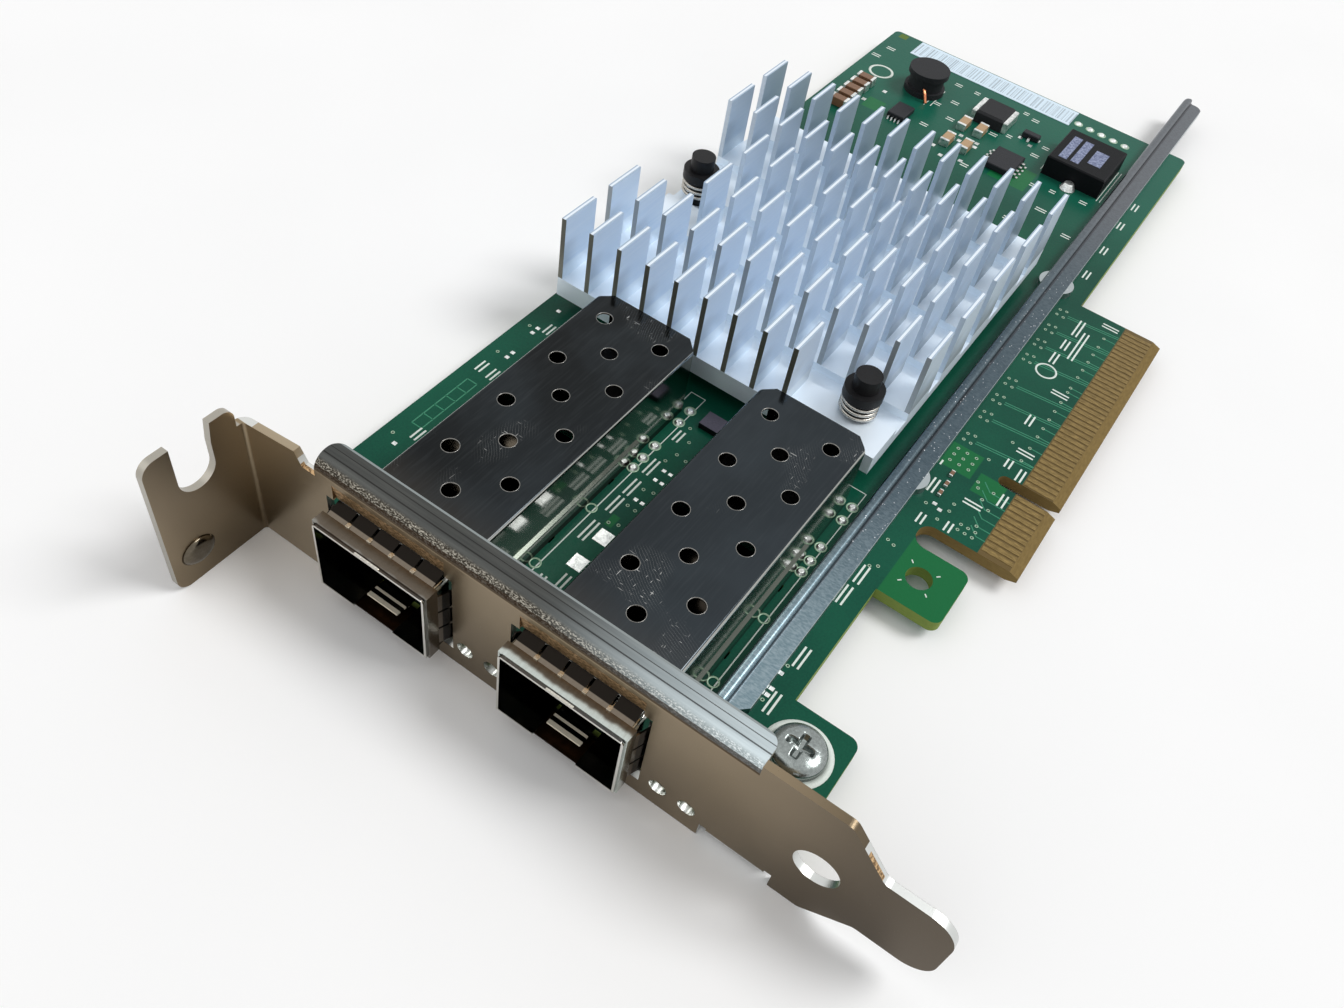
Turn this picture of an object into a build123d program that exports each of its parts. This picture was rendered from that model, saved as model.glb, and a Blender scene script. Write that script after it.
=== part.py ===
from build123d import *
import math
import os

# A dual-port network interface card, lying component side up, in millimetres.
# The origin is at the centre of the key notch, on the outer edge of the contacts,
# halfway through the board. +X runs away from the bracket along the card edge,
# +Y runs from the contacts to the card's top edge, and +Z is the component side.

# Bracket, one folded sheet
sheet = 0.86
face_x = -59.67
bracket_bend = 0.4
face_low_z = -2.4
face_high_z = 16.0
seat_y = 70.0
tongue_tip_y = -10.9
tongue_low_z = 0.9
tongue_high_z = 11.1
tongue_tip_radius = 3.0
tongue_start_y = -3.5
shoulder_y = 0.9
low_shoulder_y = 1.6
shoulder_radius = 1.2
window_y = 1.8
window_z = 6.2
window_radius = 2.35
flange_depth = 3.27
flange_bend = 0.9
flange_start_y = 9.6
flange_end_y = 60.5
flange_corner_radius = 1.3
fold_notch_z = 14.2
flange_notch_z = 13.4
flange_notch_end_y = 62.2
face_peak_y = 63.1
face_peak_z = 15.05
lug_start_y = 5.7
lug_end_y = 12.2
lug_tip_x = -44.3
lug_tip_radius = 2.0
relief_width = 0.8
relief_top_z = -0.2

# Top tab of the bracket, with its open screw slot
tab_tip_x = -71.2
top_tab_high_z = 16.9
top_tab_radius = 1.6
slot_x = -65.8
slot_width = 4.4
slot_bottom_z = 9.8
slot_flare = 0.3
slot_flare_z = 14.4
ear_foot_x = -60.5
ear_radius = 1.3
dimple_x = -67.9
dimple_z = 1.7
dimple_length = 3.3
dimple_width = 2.0
dimple_height = 0.4
dimple_bevel = 0.32

# Circuit board
board_thickness = 1.57
board_gap = 0.05
board_far_x = 90.35
board_top_y = 68.9
board_edge_y = 12.4
board_corner_radius = 1.0
lug_edge_x = -42.95
tab_near_x = -25.0
tab_far_x = -16.2
tab_edge_y = 4.55
tab_corner_radius = 1.2
tab_hole_x = -20.5
tab_hole_y = 9.2
tab_hole_radius = 1.6
edge_slot_round = 0.45

# Card edge with its key notch and contacts
edge_near_x = -12.6
edge_far_x = 39.6
edge_bevel_length = 1.3
edge_bevel_depth = 0.47
notch_width = 1.9
notch_depth = 8.2
contact_pitch = 1.0
contact_width = 0.7
contact_end_y = 5.3
contact_thickness = 0.05
first_contact_x = 1.5
contacts_near = 11
contacts_far = 38

# Screw that holds the bracket's lug
screw_x = -48.1
screw_y = 9.2
screw_radius = 1.5
screw_clearance = 0.1
screw_head_radius = 3.0
screw_head_height = 1.9
screw_head_bevel = 0.7
screw_stickout = 0.3
recess_width = 0.8
recess_length = 3.2
recess_depth = 1.0

# Transceiver cages, each a cover over a tray
port_1_y = 51.26
port_2_y = 28.1
cage_sheet = 0.25
cage_width = 14.2
cage_top_z = 10.6
cage_overhang = 2.97
cage_rear_x = -15.5
cage_bend = 0.45
cage_corner_cut = 1.6
vent_radius = 1.0
vent_sides = 16
vent_first_x = -19.55
vent_pitch = 8.94
vent_rows = 4
vent_half_gap = 3.99
tray_gap = 2.0
flap_gap = 1.2
flap_margin = 5.1
flap_high_z = 3.4
tray_pin_first_x = -54.0
tray_pin_pitch = 11.0
tray_pin_count = 3
pin_width = 0.9
pin_slot_gap = 0.1
pin_below_board = 1.2
latch_width = 4.0
latch_gap = 0.6
latch_root_x = -52.0
latch_setback = 1.4
latch_rise = 1.0

# Finger collars round the cages' mouths
collar_sheet = 0.2
collar_setback = 0.3
collar_length = 1.44
finger_pitch = 2.75
finger_gap = 0.3
finger_count_across = 5
finger_count_up = 3
finger_reach = 0.6
finger_hook = 0.35
opening_gap = 0.1
coin_high_z = 13.7
coin_depth = 0.4
coin_width = 14.1

# Status lights and the bracket's holes in front of them
light_hole_radius = 1.0
light_hole_z = 1.0
light_places = (14.7, 18.0, 38.3, 41.7)
light_length = 1.3
light_width = 1.6
light_height = 1.1
light_gap = 0.1

# Host connectors inside the cages
connector_front_x = -28.0
connector_rear_x = -18.5
connector_width = 11.9
connector_height = 5.5
card_slot_width = 9.4
card_slot_height = 1.3
card_slot_rise = 3.0
card_slot_depth = 6.0

# Heat sink
fin_count = 12
fin_pitch = 4.15
fin_thickness = 0.65
fin_rows = 6
fin_row_pitch = 9.42
fin_length = 6.15
sink_near_x = -12.9
sink_high_y = 67.15
channel_z = 5.9
cross_cut_z = 4.75
fin_top_z = 15.0
sink_pockets = ((0, 9, 11), (2, 0, 1), (3, 0, 1))

# Push pins and their springs
pin_a_x = -7.3
pin_a_y = 26.1
pin_b_x = 15.0
pin_b_y = 64.2
pin_shaft_radius = 1.3
pin_clearance = 0.15
pin_flange_radius = 2.5
pin_flange_z = 8.6
pin_flange_height = 1.3
pin_cap_radius = 1.65
pin_cap_height = 2.0
barb_radius = 1.75
barb_tip_radius = 0.8
barb_length = 1.5
spring_radius = 2.2
spring_wire = 0.5
spring_turns = 1.8
spring_wire_sides = 4
spring_seat_gap = 0.05

# Controller chip and the pad on its lid
chip_x = 4.0
chip_y = 45.0
chip_size = 25.0
chip_base_height = 1.1
lid_size = 21.0
lid_height = 0.95
pad_size = 20.0
pad_height = 0.3

# Stiffener bar and its pins
bar_near_x = -48.6
bar_far_x = 107.9
bar_outer_y = 15.35
bar_inner_y = 18.9
bar_thickness = 1.0
ridge_width = 1.3
ridge_height = 1.9
ridge_radius = 0.5
ridge_foot_radius = 0.3
bar_end_cut = 1.3
bar_tip_radius = 1.6
boss_length = 3.6
boss_reach = 0.8
boss_near_x = -7.9
boss_far_x = 40.6
bar_pin_radius = 0.7
bar_pin_gap = 0.1
bar_pin_stickout = 0.6

# Parts that stand on the board near its far end
drum_x = 75.3
drum_y = 56.0
drum_radius = 3.5
drum_height = 4.0
drum_rim_height = 0.9
drum_winding_radius = 3.0
shielded_near_x = 72.9
shielded_low_y = 40.3
shielded_length = 5.7
shielded_width = 5.0
shielded_height = 2.1
shielded_bevel = 0.35
module_near_x = 67.2
module_low_y = 20.4
module_length = 11.1
module_width = 9.9
module_height = 3.3
module_bevel = 0.2
memory_x = 64.8
memory_y = 55.3
memory_length = 4.4
memory_width = 3.0
memory_height = 1.0
memory_lead_pitch = 0.65
memory_lead_width = 0.25
memory_lead_counts = (4, 4)
regulator_x = 64.5
regulator_y = 35.9
regulator_length = 6.0
regulator_width = 4.8
regulator_height = 1.1
regulator_lead_pitch = 1.27
regulator_lead_width = 0.5
regulator_lead_counts = (4, 4)
transistor_x = 75.5
transistor_y = 35.6
transistor_length = 1.3
transistor_width = 2.9
transistor_height = 1.0
transistor_lead_pitch = 1.9
transistor_lead_width = 0.4
transistor_lead_counts = (2, 1)
chip_bevel = 0.12
lead_reach = 0.95
lead_sheet = 0.15
lead_foot = 0.45
tan_length = 3.2
tan_width = 1.6
tan_height = 1.3
tan_places = ((69.8, 45.7), (70.0, 42.7), (63.3, 45.8), (63.6, 42.6))
brown_length = 3.2
brown_width = 1.6
brown_height = 1.5
brown_first_x = 59.4
brown_pitch = 2.4
brown_count = 5
brown_y = 64.4
small_length = 1.0
small_width = 0.5
small_height = 0.45
small_places = ((-3.6, 13.1), (-5.6, 12.9), (-7.4, 12.9))
crystal_x = -16.8
crystal_y = 39.5
crystal_length = 2.5
crystal_width = 3.2
crystal_height = 0.85
label_margin = 0.35
label_length = 5.3
label_low_y = 32.2
label_width = 31.2
label_thickness = 0.1

# Places that follow from the sizes above
board_top = board_thickness / 2
board_bottom = -board_thickness / 2
inner_face_x = face_x + sheet
board_near_x = inner_face_x + bracket_bend + board_gap
cage_front_x = face_x - cage_overhang
collar_front_x = cage_front_x + collar_setback
collar_rear_x = collar_front_x + collar_length
half_cage = cage_width / 2
half_notch = latch_width / 2 + latch_gap
cage_middle_z = (cage_top_z + board_top) / 2
half_cage_height = (cage_top_z - board_top) / 2
collar_reach = collar_sheet + finger_reach + opening_gap
half_opening = half_cage + collar_reach
opening_low_z = board_top - collar_reach
opening_high_z = cage_top_z + collar_reach
flap_front_x = inner_face_x + flap_gap
flap_rear_x = tray_pin_first_x + tray_pin_pitch * (tray_pin_count - 1) + flap_margin
floor_rear_x = connector_front_x - tray_gap
ports = (port_1_y, port_2_y)
sink_bottom_z = board_top + chip_base_height + lid_height + pad_height
sink_length = (fin_rows - 1) * fin_row_pitch + fin_length
sink_low_y = sink_high_y - (fin_count - 1) * fin_pitch - fin_thickness
bar_pin_y = (bar_outer_y + bar_inner_y - ridge_width) / 2
bar_pin_places = (boss_near_x, boss_far_x)
push_pin_places = ((pin_a_x, pin_a_y), (pin_b_x, pin_b_y))


def block(low, high):
    """A box between two opposite corners."""
    size = [b - a for a, b in zip(low, high)]
    middle = [(a + b) / 2 for a, b in zip(low, high)]
    return Pos(*middle) * Box(*size)


def rod(x, y, low_z, high_z, radius):
    """An upright cylinder."""
    return Pos(x, y, (low_z + high_z) / 2) * Cylinder(radius, high_z - low_z)


def cross_rod(low_x, high_x, y, z, radius):
    """A cylinder along X."""
    return Pos((low_x + high_x) / 2, y, z) * Rot(0, 90, 0) * Cylinder(radius, high_x - low_x)


def flat_plate(points, low_z, high_z):
    """A flat plate whose outline is given as (x, y) points."""
    corners = [(x, y, low_z) for x, y in points]
    return extrude(make_face(Polyline(*corners, close=True)), high_z - low_z, dir=(0, 0, 1))


def end_plate(points, low_x, high_x):
    """A plate that stands across X, whose outline is given as (y, z) points."""
    corners = [(low_x, y, z) for y, z in points]
    return extrude(make_face(Polyline(*corners, close=True)), high_x - low_x, dir=(1, 0, 0))


def side_plate(points, low_y, high_y):
    """A plate that stands across Y, whose outline is given as (x, z) points."""
    corners = [(x, low_y, z) for x, z in points]
    return extrude(make_face(Polyline(*corners, close=True)), high_y - low_y, dir=(0, 1, 0))


def rounded(shape, axis, places, radius):
    """Fillets the edges along an axis that pass through the given places across it."""
    chosen = []
    for edge in shape.edges().filter_by(axis):
        middle = edge.center()
        across = {Axis.X: (middle.Y, middle.Z), Axis.Y: (middle.X, middle.Z), Axis.Z: (middle.X, middle.Y)}
        if any(math.dist(across[axis], place) < 0.01 for place in places):
            chosen.append(edge)
    return fillet(chosen, radius)


def bend_along_y(centre_x, centre_z, side_x, side_z, radius, low_y, high_y):
    """A quarter bend of the bracket's sheet along Y, on one side of its centre line."""
    length = high_y - low_y
    ring = Cylinder(radius + sheet, length) - Cylinder(radius, length)
    ring = Pos(centre_x, (low_y + high_y) / 2, centre_z) * Rot(90, 0, 0) * ring
    reach = radius + sheet + 1
    far_x, far_z = centre_x + side_x * reach, centre_z + side_z * reach
    low = (min(centre_x, far_x), low_y, min(centre_z, far_z))
    high = (max(centre_x, far_x), high_y, max(centre_z, far_z))
    return ring & block(low, high)


def fold_along_z(low_z, high_z):
    """The bend between the bracket's face and its top tab."""
    length = high_z - low_z
    ring = Cylinder(bracket_bend + sheet, length) - Cylinder(bracket_bend, length)
    centre = (face_x - bracket_bend, seat_y - bracket_bend)
    ring = Pos(centre[0], centre[1], (low_z + high_z) / 2) * ring
    reach = bracket_bend + sheet + 1
    return ring & block((*centre, low_z), (centre[0] + reach, centre[1] + reach, high_z))


def contact_centres():
    """X of each contact's centre line, on both sides of the key notch."""
    near = [-first_contact_x - contact_pitch * i for i in range(contacts_near)]
    far = [first_contact_x + contact_pitch * i for i in range(contacts_far)]
    return near + far


def tray_pin_places(port_y):
    """X and Y of the pins that hold one cage to the board."""
    across = half_cage + cage_sheet / 2
    along = [tray_pin_first_x + tray_pin_pitch * i for i in range(tray_pin_count)]
    return [(x, port_y + side * across) for side in (-1, 1) for x in along]


def tray_pin(x, y, low_z, high_z, gap):
    """A flat cage pin, or the slot that it leaves a gap in all round."""
    half_width, half_sheet = pin_width / 2 + gap, cage_sheet / 2 + gap
    return block((x - half_width, y - half_sheet, low_z), (x + half_width, y + half_sheet, high_z))


def board_holes():
    """X, Y and radius of each round hole through the board."""
    holes = [(tab_hole_x, tab_hole_y, tab_hole_radius)]
    holes.append((screw_x, screw_y, screw_radius + 2 * screw_clearance))
    holes += [(x, y, pin_shaft_radius + pin_clearance) for x, y in push_pin_places]
    holes += [(x, bar_pin_y, bar_pin_radius + bar_pin_gap) for x in bar_pin_places]
    return holes


def edge_bevel(side):
    """The wedge that bevels one side of the card edge."""
    face = side * board_top
    corners = [(0, face), (edge_bevel_length, face), (0, face - side * edge_bevel_depth)]
    return end_plate(corners, edge_near_x, edge_far_x)


def circuit_board():
    outline = [
        (board_near_x, tab_edge_y),
        (lug_edge_x, tab_edge_y),
        (lug_edge_x, board_edge_y),
        (tab_near_x, board_edge_y),
        (tab_near_x, tab_edge_y),
        (tab_far_x, tab_edge_y),
        (tab_far_x, board_edge_y),
        (edge_near_x, board_edge_y),
        (edge_near_x, 0),
        (edge_far_x, 0),
        (edge_far_x, board_edge_y),
        (board_far_x, board_edge_y),
        (board_far_x, board_top_y),
        (board_near_x, board_top_y),
    ]
    board = flat_plate(outline, board_bottom, board_top)
    tab_corners = [(tab_near_x, tab_edge_y), (tab_far_x, tab_edge_y), (lug_edge_x, tab_edge_y)]
    board = rounded(board, Axis.Z, tab_corners, tab_corner_radius)
    slot_corners = [(tab_far_x, board_edge_y), (edge_near_x, board_edge_y)]
    board = rounded(board, Axis.Z, slot_corners, (edge_near_x - tab_far_x) * edge_slot_round)
    far_corners = [(board_far_x, board_edge_y), (board_far_x, board_top_y)]
    board = rounded(board, Axis.Z, far_corners, board_corner_radius)
    notch_end = notch_depth - notch_width / 2
    board -= block((-notch_width / 2, 0, board_bottom), (notch_width / 2, notch_end, board_top))
    board -= rod(0, notch_end, board_bottom, board_top, notch_width / 2)
    for side in (-1, 1):
        board -= edge_bevel(side)
    for x, y, radius in board_holes():
        board -= rod(x, y, board_bottom, board_top, radius)
    for port_y in ports:
        for x, y in tray_pin_places(port_y):
            board -= tray_pin(x, y, board_bottom, board_top, pin_slot_gap)
    return board


def edge_contacts():
    """The gold-coloured fingers, thin plates on both sides of the card edge."""
    fingers = []
    for x in contact_centres():
        low, high = x - contact_width / 2, x + contact_width / 2
        for low_z in (board_top, board_bottom - contact_thickness):
            corner = (high, contact_end_y, low_z + contact_thickness)
            fingers.append(block((low, edge_bevel_length, low_z), corner))
    return Compound(children=fingers)


def bracket_face():
    """The bracket's flat face with its tongue, before its openings are cut."""
    flange_bend_z = face_high_z - flange_bend - sheet
    lug_bend_z = board_bottom + bracket_bend
    outline = [
        (seat_y - bracket_bend, face_low_z),
        (lug_end_y + relief_width, face_low_z),
        (lug_end_y + relief_width, relief_top_z),
        (lug_end_y, relief_top_z),
        (lug_end_y, lug_bend_z),
        (lug_start_y, lug_bend_z),
        (lug_start_y, relief_top_z),
        (lug_start_y - relief_width, relief_top_z),
        (lug_start_y - relief_width, face_low_z),
        (low_shoulder_y, face_low_z),
        (tongue_start_y, tongue_low_z),
        (tongue_tip_y, tongue_low_z),
        (tongue_tip_y, tongue_high_z),
        (tongue_start_y, tongue_high_z),
        (shoulder_y, face_high_z),
        (flange_start_y, face_high_z),
        (flange_start_y, flange_bend_z),
        (flange_end_y, flange_bend_z),
        (flange_end_y, flange_notch_z),
        (flange_notch_end_y, flange_notch_z),
        (face_peak_y, face_peak_z),
        (seat_y - bracket_bend, fold_notch_z),
    ]
    face = end_plate(outline, face_x, inner_face_x)
    tips = [(tongue_tip_y, tongue_low_z), (tongue_tip_y, tongue_high_z)]
    face = rounded(face, Axis.X, tips, tongue_tip_radius)
    shoulders = [(low_shoulder_y, face_low_z), (tongue_start_y, tongue_low_z)]
    shoulders += [(tongue_start_y, tongue_high_z), (shoulder_y, face_high_z)]
    return rounded(face, Axis.X, shoulders, shoulder_radius)


def bracket_openings():
    """What is cut out of the bracket's face: ports, coined leads, lights and window."""
    cuts = [cross_rod(face_x, inner_face_x, window_y, window_z, window_radius)]
    for port_y in ports:
        low = (face_x, port_y - half_opening, opening_low_z)
        high = (inner_face_x, port_y + half_opening, opening_high_z)
        cuts.append(block(low, high))
        lead = [(face_x, coin_high_z), (face_x, opening_high_z), (face_x + coin_depth, opening_high_z)]
        cuts.append(side_plate(lead, port_y - coin_width / 2, port_y + coin_width / 2))
    for y in light_places:
        cuts.append(cross_rod(face_x, inner_face_x, y, light_hole_z, light_hole_radius))
    return cuts


def dimple():
    """The bump that is pressed out of the tab, towards the card."""
    low = (dimple_x - dimple_length / 2, seat_y - dimple_height, dimple_z - dimple_width / 2)
    high = (dimple_x + dimple_length / 2, seat_y, dimple_z + dimple_width / 2)
    bump = block(low, high)
    return chamfer(bump.faces().sort_by(Axis.Y)[0].edges(), dimple_bevel)


def top_tab():
    """The tab that is screwed to the chassis, with its slot, ear and dimple."""
    bend_x = face_x - bracket_bend
    slot_far_x = slot_x + slot_width / 2
    outline = [
        (tab_tip_x, face_low_z),
        (bend_x, face_low_z),
        (bend_x, fold_notch_z),
        (ear_foot_x, fold_notch_z),
        (ear_foot_x, top_tab_high_z),
        (tab_tip_x, top_tab_high_z),
    ]
    tab = side_plate(outline, seat_y, seat_y + sheet)
    tips = [(tab_tip_x, face_low_z), (tab_tip_x, top_tab_high_z)]
    tab = rounded(tab, Axis.Y, tips, top_tab_radius)
    tab = rounded(tab, Axis.Y, [(ear_foot_x, top_tab_high_z)], ear_radius)
    slot_centre_z = slot_bottom_z + slot_width / 2
    slot = [
        (slot_x - slot_width / 2, slot_centre_z),
        (slot_far_x, slot_centre_z),
        (slot_far_x, slot_flare_z),
        (slot_far_x + slot_flare, top_tab_high_z),
        (slot_x - slot_width / 2, top_tab_high_z),
    ]
    tab -= side_plate(slot, seat_y, seat_y + sheet)
    end = Pos(slot_x, seat_y + sheet / 2, slot_centre_z) * Rot(90, 0, 0)
    tab -= end * Cylinder(slot_width / 2, sheet)
    return tab + dimple() - Pos(0, sheet, 0) * dimple()


def flange():
    """The stiffening flange along the component side of the face."""
    reach = flange_bend + sheet
    far_x = face_x + flange_depth
    strip = block((face_x + reach, flange_start_y, face_high_z - sheet), (far_x, flange_end_y, face_high_z))
    strip = rounded(strip, Axis.Z, [(far_x, flange_start_y), (far_x, flange_end_y)], flange_corner_radius)
    bend = bend_along_y(face_x + reach, face_high_z - reach, -1, 1, flange_bend, flange_start_y, flange_end_y)
    return strip + bend


def bracket_lug():
    """The lug under the board that the screw goes into."""
    low_z = board_bottom - sheet
    bend_x = inner_face_x + bracket_bend
    strip = block((bend_x, lug_start_y, low_z), (lug_tip_x, lug_end_y, board_bottom))
    strip = rounded(strip, Axis.Z, [(lug_tip_x, lug_start_y), (lug_tip_x, lug_end_y)], lug_tip_radius)
    strip -= rod(screw_x, screw_y, low_z, board_bottom, screw_radius + screw_clearance)
    bend_z = board_bottom + bracket_bend
    return strip + bend_along_y(bend_x, bend_z, -1, -1, bracket_bend, lug_start_y, lug_end_y)


def bracket():
    body = bracket_face() + flange() + bracket_lug() + top_tab() + fold_along_z(face_low_z, fold_notch_z)
    for cut in bracket_openings():
        body -= cut
    return body


def bracket_screw():
    """A pan-head screw with a cross recess, from the component side into the lug."""
    end_z = board_bottom - sheet - screw_stickout
    head_z = board_top + screw_head_height
    head = rod(screw_x, screw_y, board_top, head_z, screw_head_radius)
    head = chamfer(head.faces().sort_by(Axis.Z)[-1].edges(), screw_head_bevel)
    screw = head + rod(screw_x, screw_y, end_z, board_top, screw_radius)
    for length, width in ((recess_length, recess_width), (recess_width, recess_length)):
        low = (screw_x - length / 2, screw_y - width / 2, head_z - recess_depth)
        high = (screw_x + length / 2, screw_y + width / 2, head_z + 1)
        screw -= block(low, high)
    return screw


def cage_cover(port_y):
    """A cage's top, side walls and rear wall, folded from one sheet, with its vents."""
    low_y, high_y = port_y - half_cage, port_y + half_cage
    cover = block((cage_front_x, low_y, board_top), (cage_rear_x, high_y, cage_top_z))
    cover = rounded(cover, Axis.X, [(low_y, cage_top_z), (high_y, cage_top_z)], cage_bend)
    inner_low = (cage_front_x, low_y + cage_sheet, board_top)
    inner_high = (cage_rear_x - cage_sheet, high_y - cage_sheet, cage_top_z - cage_sheet)
    cover -= block(inner_low, inner_high)
    floor_top = board_top + cage_sheet
    cover -= block((cage_front_x, low_y, board_top), (floor_rear_x, high_y, floor_top))
    for side, wall_y in ((1, low_y), (-1, high_y)):
        corner = [
            (cage_rear_x, wall_y),
            (cage_rear_x, wall_y + side * cage_corner_cut),
            (cage_rear_x - cage_corner_cut, wall_y),
        ]
        cover -= flat_plate(corner, board_top, cage_top_z)
    for x, y in vent_places(port_y):
        vent = Pos(x, y, cage_top_z - cage_sheet) * RegularPolygon(vent_radius, vent_sides)
        cover -= extrude(vent, cage_sheet)
    return cover


def vent_places(port_y):
    """Centres of the vent holes: pairs in rows, with a single one between two rows."""
    places = []
    for row in range(vent_rows):
        x = vent_first_x - vent_pitch * row
        places.append((x, port_y - vent_half_gap))
        places.append((x, port_y + vent_half_gap))
        places.append((x - vent_pitch / 2, port_y))
    return places


def cage_tray(port_y):
    """A cage's floor with its latch tongue, and the low flaps and pins outside the cover."""
    low_y, high_y = port_y - half_cage, port_y + half_cage
    floor_top = board_top + cage_sheet
    tray = block((cage_front_x, low_y, board_top), (floor_rear_x, high_y, floor_top))
    tray -= block(
        (cage_front_x, port_y - half_notch, board_top),
        (latch_root_x, port_y + half_notch, floor_top),
    )
    latch_tip_x = cage_front_x + latch_setback
    latch = [
        (latch_root_x, board_top),
        (latch_root_x, floor_top),
        (latch_tip_x, floor_top + latch_rise),
        (latch_tip_x, board_top + latch_rise),
    ]
    tray += side_plate(latch, port_y - latch_width / 2, port_y + latch_width / 2)
    tray += block((flap_front_x, low_y - cage_sheet, board_top), (flap_rear_x, low_y, flap_high_z))
    tray += block((flap_front_x, high_y, board_top), (flap_rear_x, high_y + cage_sheet, flap_high_z))
    for x, y in tray_pin_places(port_y):
        tray += tray_pin(x, y, board_bottom - pin_below_board, board_top, 0)
    return tray


def collar_finger(base, offset):
    """One spring finger of a collar, at a distance from the cage's axis, leaning back."""
    crest_x = (face_x + inner_face_x) / 2
    tip_x = inner_face_x
    profile = [
        (collar_rear_x, base),
        (crest_x, base + finger_reach),
        (tip_x, base + finger_reach - finger_hook),
        (tip_x, base + finger_reach - finger_hook + collar_sheet),
        (crest_x, base + finger_reach + collar_sheet),
        (collar_rear_x, base + collar_sheet),
    ]
    half_width = (finger_pitch - finger_gap) / 2
    return side_plate(profile, offset - half_width, offset + half_width)


def finger_collar(port_y):
    """The spring-finger collar that fills the bracket's opening round one cage."""
    outer_y, outer_z = half_cage + collar_sheet, half_cage_height + collar_sheet
    length = collar_rear_x - collar_front_x
    band = Box(length, 2 * outer_y, 2 * outer_z) - Box(length, 2 * half_cage, 2 * half_cage_height)
    band = Pos((collar_front_x + collar_rear_x) / 2, 0, 0) * band
    band -= block((collar_front_x, -half_notch, -outer_z), (collar_rear_x, half_notch, -half_cage_height))
    for turn in range(4):
        across = turn % 2 == 0
        base = half_cage_height if across else half_cage
        count = finger_count_across if across else finger_count_up
        for i in range(count):
            offset = (i - (count - 1) / 2) * finger_pitch
            if turn == 2 and abs(offset) < half_notch:
                continue
            band += Rot(90 * turn, 0, 0) * collar_finger(base, offset)
    return Pos(0, port_y, cage_middle_z) * band


def host_connector(port_y):
    """The connector inside a cage, with its card slot."""
    half = connector_width / 2
    top_z = board_top + connector_height
    body = block((connector_front_x, port_y - half, board_top), (connector_rear_x, port_y + half, top_z))
    slot_low_z = board_top + card_slot_rise
    slot_low = (connector_front_x, port_y - card_slot_width / 2, slot_low_z)
    slot_far_x = connector_front_x + card_slot_depth
    slot_high = (slot_far_x, port_y + card_slot_width / 2, slot_low_z + card_slot_height)
    return body - block(slot_low, slot_high)


def status_lights():
    """The side-looking lights on the board's near edge, behind the bracket's holes."""
    near_x = board_near_x + light_gap
    lights = []
    for y in light_places:
        low = (near_x, y - light_width / 2, board_top)
        high = (near_x + light_length, y + light_width / 2, board_top + light_height)
        lights.append(block(low, high))
    return Compound(children=lights)


def fin_y(number):
    """Y of a fin's centre line; fin 0 is the one at the card's top edge."""
    return sink_high_y - fin_thickness / 2 - fin_pitch * number


def sink_pocket(row, first_fin, last_fin):
    """What is cut away where a push pin takes the place of fins, down to the channels."""
    low_x = sink_near_x + fin_row_pitch * row
    low_y = fin_y(last_fin) - fin_pitch / 2
    high_y = fin_y(first_fin) + fin_pitch / 2
    return block((low_x, low_y, channel_z), (low_x + fin_length, high_y, fin_top_z))


def heat_sink():
    """Fins drawn along X, then sawn across into rows, with pockets for the push pins."""
    profile = Plane.YZ * Pos((sink_low_y + sink_high_y) / 2, (sink_bottom_z + channel_z) / 2)
    profile *= Rectangle(sink_high_y - sink_low_y, channel_z - sink_bottom_z)
    for number in range(fin_count):
        place = Plane.YZ * Pos(fin_y(number), (channel_z + fin_top_z) / 2)
        profile += place * Rectangle(fin_thickness, fin_top_z - channel_z)
    sink = Pos(sink_near_x, 0, 0) * extrude(profile, sink_length, dir=(1, 0, 0))
    for row in range(fin_rows - 1):
        low_x = sink_near_x + fin_row_pitch * row + fin_length
        high_x = sink_near_x + fin_row_pitch * (row + 1)
        sink -= block((low_x, sink_low_y, cross_cut_z), (high_x, sink_high_y, fin_top_z))
    for row, first_fin, last_fin in sink_pockets:
        sink -= sink_pocket(row, first_fin, last_fin)
    for x, y in push_pin_places:
        sink -= rod(x, y, sink_bottom_z, channel_z, pin_shaft_radius + pin_clearance)
    return sink


def push_pin(x, y):
    """A barbed pin: cap, flange, shaft through sink and board, and barb below."""
    flange_top_z = pin_flange_z + pin_flange_height
    cap_top_z = flange_top_z + pin_cap_height
    outline = [
        (0, cap_top_z),
        (pin_cap_radius, cap_top_z),
        (pin_cap_radius, flange_top_z),
        (pin_flange_radius, flange_top_z),
        (pin_flange_radius, pin_flange_z),
        (pin_shaft_radius, pin_flange_z),
        (pin_shaft_radius, board_bottom - pin_clearance),
        (barb_radius, board_bottom - pin_clearance),
        (barb_tip_radius, board_bottom - barb_length),
        (0, board_bottom - barb_length),
    ]
    half = make_face(Polyline(*[(r, 0, z) for r, z in outline], close=True))
    return Pos(x, y, 0) * revolve(half, Axis.Z)


def pin_spring(x, y):
    """The coil spring between the heat sink and a push pin's flange."""
    low_z = channel_z + spring_seat_gap + spring_wire / 2
    high_z = pin_flange_z - spring_seat_gap - spring_wire / 2
    rise = high_z - low_z
    path = Helix(rise / spring_turns, rise, spring_radius)
    section = Plane(path @ 0, z_dir=path % 0) * RegularPolygon(spring_wire / 2, spring_wire_sides)
    return Pos(x, y, low_z) * sweep(section, path)


def square_slab(size, low_z, height):
    """A square slab centred on the controller chip."""
    return Pos(chip_x, chip_y, low_z + height / 2) * Box(size, size, height)


def controller_chip():
    """The chip under the heat sink: a flat base and a metal lid."""
    base_top = board_top + chip_base_height
    base = square_slab(chip_size, board_top, chip_base_height)
    return base + square_slab(lid_size, base_top, lid_height)


def thermal_pad():
    return square_slab(pad_size, board_top + chip_base_height + lid_height, pad_height)


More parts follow.
